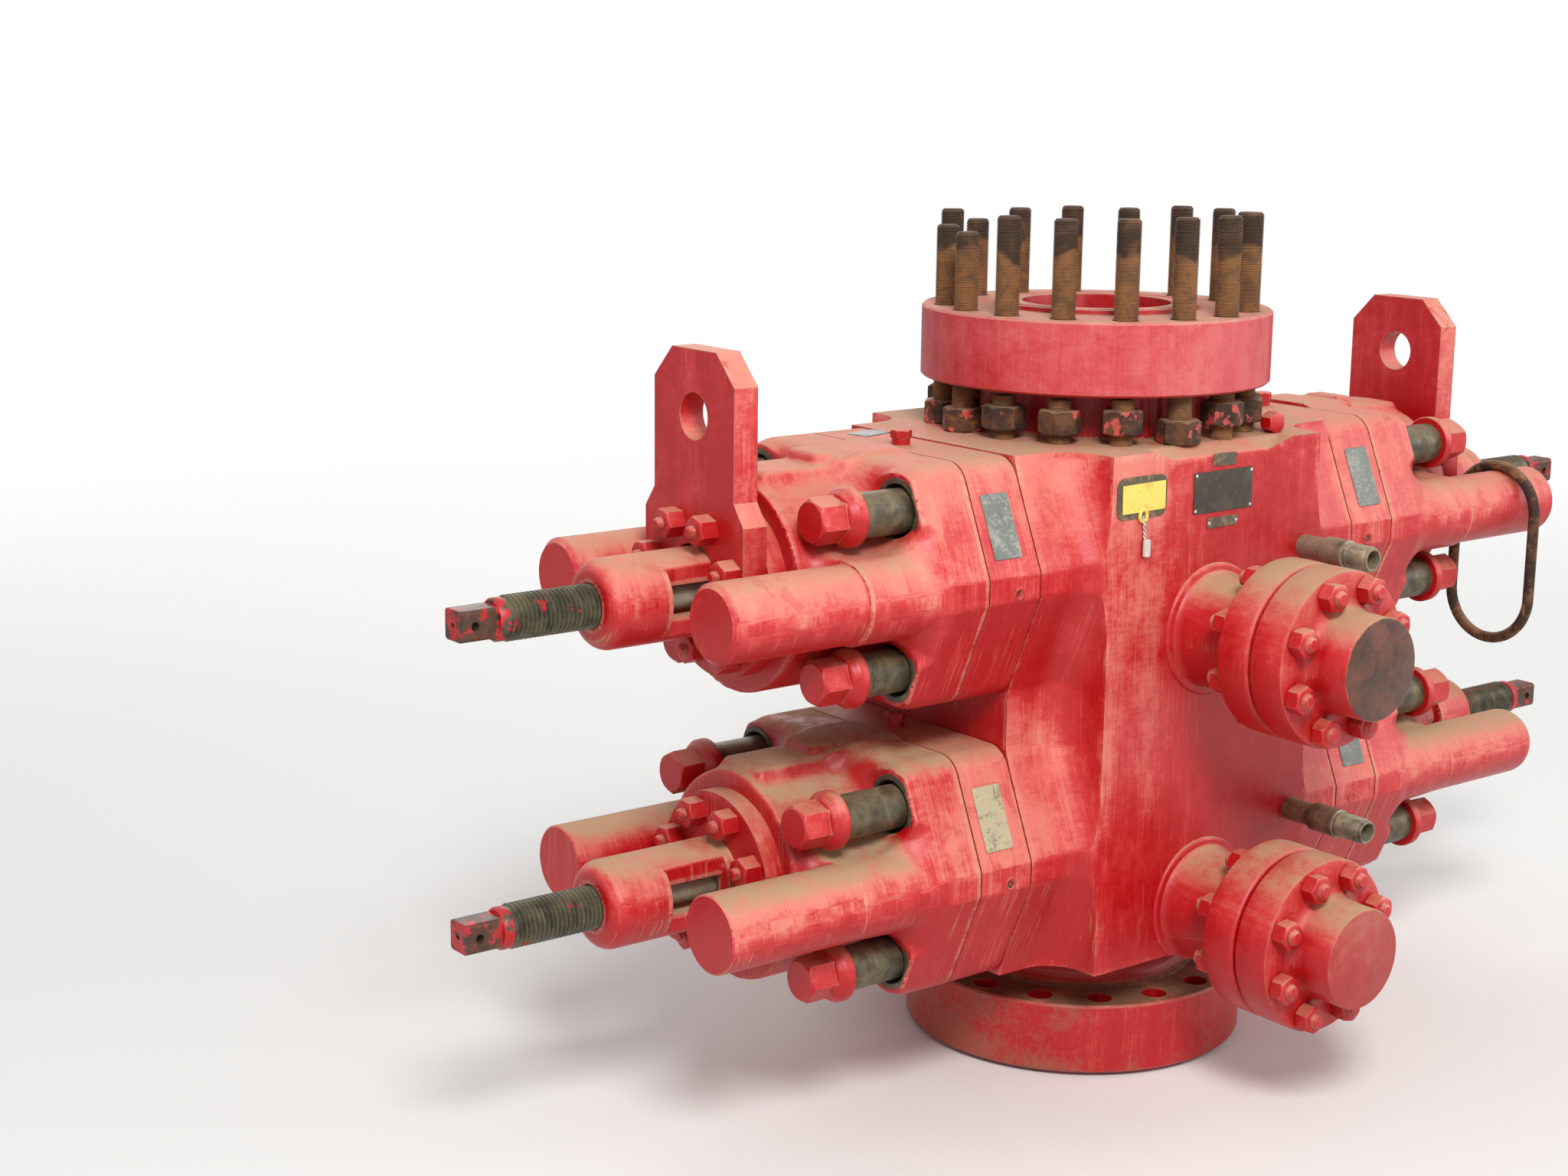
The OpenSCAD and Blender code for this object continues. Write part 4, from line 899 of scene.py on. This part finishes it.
for height, front in OUTLETS:
    points, quads = along_y(lathe(PAD, 96), (0, 0, height), front)
    points[:, 2] = np.maximum(points[:, 2], BODY_BOTTOM + 0.0005)
    pads.append((points, quads))
    necks.append(along_y(lathe(SPOOL, 96), (0, 0, height), front))
    covers.append(along_y(lathe(BLIND, 96), (0, 0, height), front))
    for i, (u, v) in enumerate(bolt_circle(8, 0.1294)):
        rod = [s for low, high in ((0.441, 0.460), (0.655, 0.670)) for s in stud(low, high, 0.0143, 0.003, 0.0016)]
        for seat, lead in ((0.459, 9), (0.633, 0)):
            rod.append(turned(stood(hexagon(0.028, 0.046), (0, 0, seat)), 13 * i + lead))
        bolting += [along_y(stood(s, (u, v, 0)), (0, 0, height), front) for s in rod]
piece("outlet_pads", pads, BODY, "body_paint", ["body"])
piece("outlet_necks", necks, OUTLET, "flange_paint", ["outlet_spools"])
piece("outlet_covers", covers, OUTLET, "flange_paint", ["blind_flanges"])
piece("outlet_bolting", bolting, HARDWARE, "flange_paint", ["outlet_studs"])

NIPPLE_X = 0.237
nipples = []
for height, length in ((UPPER + 0.004, 0.165), (LOWER + 0.014, 0.190)):
    a, b, tip = (BOSS_DEPTH + length * part for part in (0.34, 0.66, 1))
    pipe = [(0.325, 0.022), (a, 0.022), (a, 0.0255), (a + 0.0015, 0.027), (b - 0.002, 0.027), (b, 0.0235),
            (b + 0.004, 0.0225), (tip - 0.003, 0.0225), (tip, 0.0208), (tip, 0.0175), (tip - 0.003, 0.0168),
            (BOSS_DEPTH + length / 2, 0.0168)]
    pipe_thread = thread(b + 0.004, tip - 0.003, 0.024, 0.0034, 0.0016, 28)
    nipples += [along_y(s, (NIPPLE_X, 0, height)) for s in (lathe(pipe), pipe_thread)]
piece("hydraulic_pipe_nipples", nipples, NIPPLES, "nipple_steel", ["hydraulic_nipples"])

# The intermediate flanges' plates lie on the upper front slope, 105 mm over the ram axis, and their vents on the nose.
slope_in, slope_up = math.sin(SLOPE), math.cos(SLOPE)
PLATE_UP = 0.105
plate_y = -(0.2862 - PLATE_UP * slope_in) / slope_up - 0.0002
BUSH = [(0, 0.0125), (0.0014, 0.012), (0.0020, 0.0095), (0.0016, 0.0078), (0.0004, 0.0070)]
# Each vent's opening is a flat dark rust disc inside its bush. Its dark is partly rust and partly painted shade of the
# hole.
HOLE = [(0.0002, 0.0072), (0.0006, 0.0068), (0.0006, 0.0025), (0.0003, 0.0022)]
bushes, holes = [], []
for label, side, level in CORNERS:
    plate = stood(slab(0.031, 0.058, 0.0022, 0.004, 0.0008), (side * 0.470, plate_y, level + PLATE_UP), (1, 0, 0),
                  (0, slope_in, slope_up))
    piece(f"{label}_flange_plate", [plate], PALE_ZINC if label == "lower_left" else ZINC, "nipple_steel")
    vent = (side * 0.454, -0.3018, level - 0.010)
    bushes.append(along_y(lathe(BUSH, 24), vent))
    holes.append(along_y(lathe(HOLE, 20), vent))
piece("vent_bushes", bushes, HARDWARE, "flange_paint")
piece("vent_openings_rust_and_shade", holes, NUTS, "nut_rust")

patch = along_y(slab(0.062, 0.038, 0.0008, 0.018, 0.0006), (-0.196, FRONT, 1.109))
piece("tag_patch", [patch], OLD_SPOT, "nipple_steel")
TAG_X, EYE_Z = -0.193, 1.0765
card = along_y(slab(0.0525, 0.0255, 0.0016, 0.002, 0.0005), (-0.192, FRONT - 0.0012, 1.1085), tilt=0.02)
t = np.linspace(0, 2 * np.pi, 25)
eye = np.stack([TAG_X + 0.0085 * np.cos(t), np.full(25, FRONT - 0.0022), EYE_Z + 0.0105 * np.sin(t)], 1)
piece("yellow_tag", [card, tube(eye, 0.0035)], YELLOW, "nipple_steel")
s = np.linspace(0, 1, 24)
seal = []
for phase in (0, np.pi):
    across, off = (0.0022 * wave(s * 16 + phase) for wave in (np.sin, np.cos))
    strand = np.stack([TAG_X + 0.004 * s + across, FRONT - 0.005 - off, 1.076 - 0.044 * s], 1)
    seal.append(tube(strand, 0.0013, 6))
barrel = lathe([(0, 0.0055), (0.0015, 0.007), (0.029, 0.007), (0.0305, 0.0055)], 24)
seal.append(stood(barrel, (-0.187, FRONT - 0.0075, 1.003)))
piece("tag_seal", seal, SILVER, "nipple_steel")

PLATE_X, PLATE_Z = 0.010, 1.102
nameplate = along_y(slab(0.076, 0.0375, 0.0018, 0.003, 0.0006), (PLATE_X, FRONT, PLATE_Z), tilt=0.005)
small_plates = [along_y(slab(0.030, 0.0115, 0.0014, 0.002, 0.0005), (0.011, FRONT, 1.159), tilt=-0.02),
                along_y(slab(0.039, 0.0095, 0.0014, 0.002, 0.0005), (0.011, FRONT, 1.045), tilt=0.01)]
piece("blank_nameplate", [nameplate], DARK_PLATE, "nipple_steel")
piece("small_blank_plates", small_plates, OLD_SPOT, "nipple_steel")
screw_head = lathe([(0, 0.0032), (0.0012, 0.0030), (0.0020, 0.0018), (0.0022, 0)], 16)
spots = [(PLATE_X + u, PLATE_Z + v) for u in (-0.071, 0.071) for v in (-0.032, 0.032)]
spots += [(-0.024, 1.045), (0.046, 1.045)]
plate_screws = [along_y(screw_head, (x, FRONT - 0.0012, z)) for x, z in spots]
piece("plate_screws", plate_screws, SILVER, "nipple_steel")

greaser = [lathe([(0, 0.009), (0.006, 0.009), (0.007, 0.0065), (0.012, 0.006), (0.014, 0.0045), (0.017, 0.0055),
                  (0.020, 0.005), (0.022, 0.002)], 20),
           turned(hexagon(0.007, 0.019), 15)]
plug = [lathe([(0, 0.0165), (0.012, 0.0165), (0.012, 0.013)], 24), stood(hexagon(0.016, 0.034), (0, 0, 0.011))]
greasers, top_plugs = [], []
for _, side, level in CORNERS:
    greasers += [stood(s, (side * 0.690, 0, level + 0.199)) for s in greaser]
    top_plugs += [stood(s, (side * 0.472, 0, level + ARM_HEIGHT - 0.0005)) for s in plug]
piece("grease_fittings", greasers, HARDWARE, "nipple_steel")
piece("flange_top_plugs", top_plugs, HARDWARE, "flange_paint")
side_plug = [along_y(lathe([(0, 0.015), (0.020, 0.015)], 24), (0.191, -0.262, 1.2045)),
             along_y(hexagon(0.026, 0.037), (0.191, -0.266, 1.2045))]
piece("side_plug", side_plug, HARDWARE, "flange_paint")
top_plate = stood(slab(0.036, 0.024, 0.002, 0.003, 0.0006), (-0.440, 0.130, UPPER + ARM_HEIGHT - 0.0002),
                  (0.97, 0.24, 0), (-0.24, 0.97, 0))
piece("top_flange_plate", [top_plate], ZINC, "nipple_steel")

# Each socket's lining goes up its wall and out over its mouth as a flat ring, which stays 3.5 mm inside the slope.
LINING = [(0.6000, 0.0395), (0.5990, 0.0464), (0.6408, 0.0464), (0.6422, 0.0474), (0.6420, 0.0560), (0.6380, 0.0568)]
t = np.tile(once_round(48), len(LINING))
linings = []
for _, side, level in CORNERS:
    for y, z in SOCKETS:
        x, r = np.repeat(LINING, 48, axis=0).T
        r -= 1.1 * np.maximum(arm_section(y + r * np.cos(t), z + r * np.sin(t)) + 0.0035, 0)
        points = np.stack([x, y + r * np.cos(t), z + r * np.sin(t)], 1)
        linings.append(on_ram((points, grid(len(LINING), 48)), side, level))
piece("socket_linings", linings, SOCKET_RIM, "bolt_olive")


def build_floor():
    """A round pale floor that goes to white far out, so that it has no edge against the backdrop."""
    made, w, _ = new_material("floor")
    made.node_tree.nodes.clear()
    where = w.place()
    far = w.step(w.vector("LENGTH", where), 2.0, 7.5)
    grey = w.add("BsdfDiffuse", {"Color": srgb(0.92, 0.92, 0.91)}).outputs[0]
    white = w.add("Emission", {"Color": (1, 1, 1, 1), "Strength": 1.0}).outputs[0]
    seen = w.sum("MULTIPLY", far, w.add("LightPath").outputs["Is Camera Ray"])
    out = w.add("OutputMaterial")
    w.feed(out.inputs["Surface"], w.add("MixShader", {0: seen, 1: grey, 2: white}).outputs[0])
    t = once_round(96)
    r = np.r_[0.0, np.geomspace(0.5, 60, 24)][:, None]
    shape = len(r), len(t)
    points = np.stack([r * np.cos(t), r * np.sin(t), np.full(shape, -0.0005)], 2)
    mesh = bpy.data.meshes.new("floor")
    mesh.from_pydata(points.reshape(-1, 3).tolist(), [], grid(*shape).tolist())
    mesh.materials.append(made)
    floor = new_object("floor", mesh)


def build_world(level=0.50):
    """A plain white surround: full white to the camera and in reflections, level for everything else."""
    world = bpy.data.worlds.new("studio")
    scene.world = world
    world.use_nodes = True
    w = Wiring(world.node_tree)
    path = w.add("LightPath").outputs
    seen = w.sum("MAXIMUM", path["Is Camera Ray"], w.sum("MAXIMUM", path["Is Glossy Ray"], path["Is Transmission Ray"]))
    sky = world.node_tree.nodes["Background"]
    sky.inputs["Color"].default_value = (1, 1, 1, 1)
    w.feed(sky.inputs["Strength"], w.between(seen, level, 1.0))


def lamp(name, place, aim, size, watts):
    """A square soft lamp at a place, turned towards aim."""
    light = bpy.data.lights.new(name, "AREA")
    light.energy, light.size = watts, size
    obj = new_object(name, light)
    obj.location = place
    obj.rotation_euler = (Vector(aim) - Vector(place)).to_track_quat("-Z", "Y").to_euler()


def build_camera():
    """The photograph's place and turn, found from the flange circles; yaw, pitch and roll are given in degrees."""
    yaw, pitch, roll = (math.radians(a) for a in (37.45, -12.02, 0.65))
    ahead = Vector((math.sin(yaw) * math.cos(pitch), math.cos(yaw) * math.cos(pitch), math.sin(pitch)))
    level = Vector((math.cos(yaw), -math.sin(yaw), 0))
    above = level.cross(ahead)
    side = level * math.cos(roll) + above * math.sin(roll)
    top = above * math.cos(roll) - level * math.sin(roll)
    camera = new_object("camera", bpy.data.cameras.new("camera"))
    camera.matrix_world = Matrix((side, top, -ahead)).transposed().to_4x4()
    camera.location = (-3.30146, -3.35593, 1.85273)
    camera.data.lens, camera.data.sensor_width = 57.02, 36.0
    camera.data.clip_end = 200
    scene.camera = camera


build_floor()
build_world()
lamp("key", (-3.2, -4.6, 5.4), (0, 0, 0.7), 1.9, 400)
lamp("fill", (5.0, -3.4, 3.0), (0, 0, 0.8), 3.0, 90)
lamp("rear", (2.6, 5.4, 4.2), (0, 0, 0.8), 3.0, 130)
build_camera()
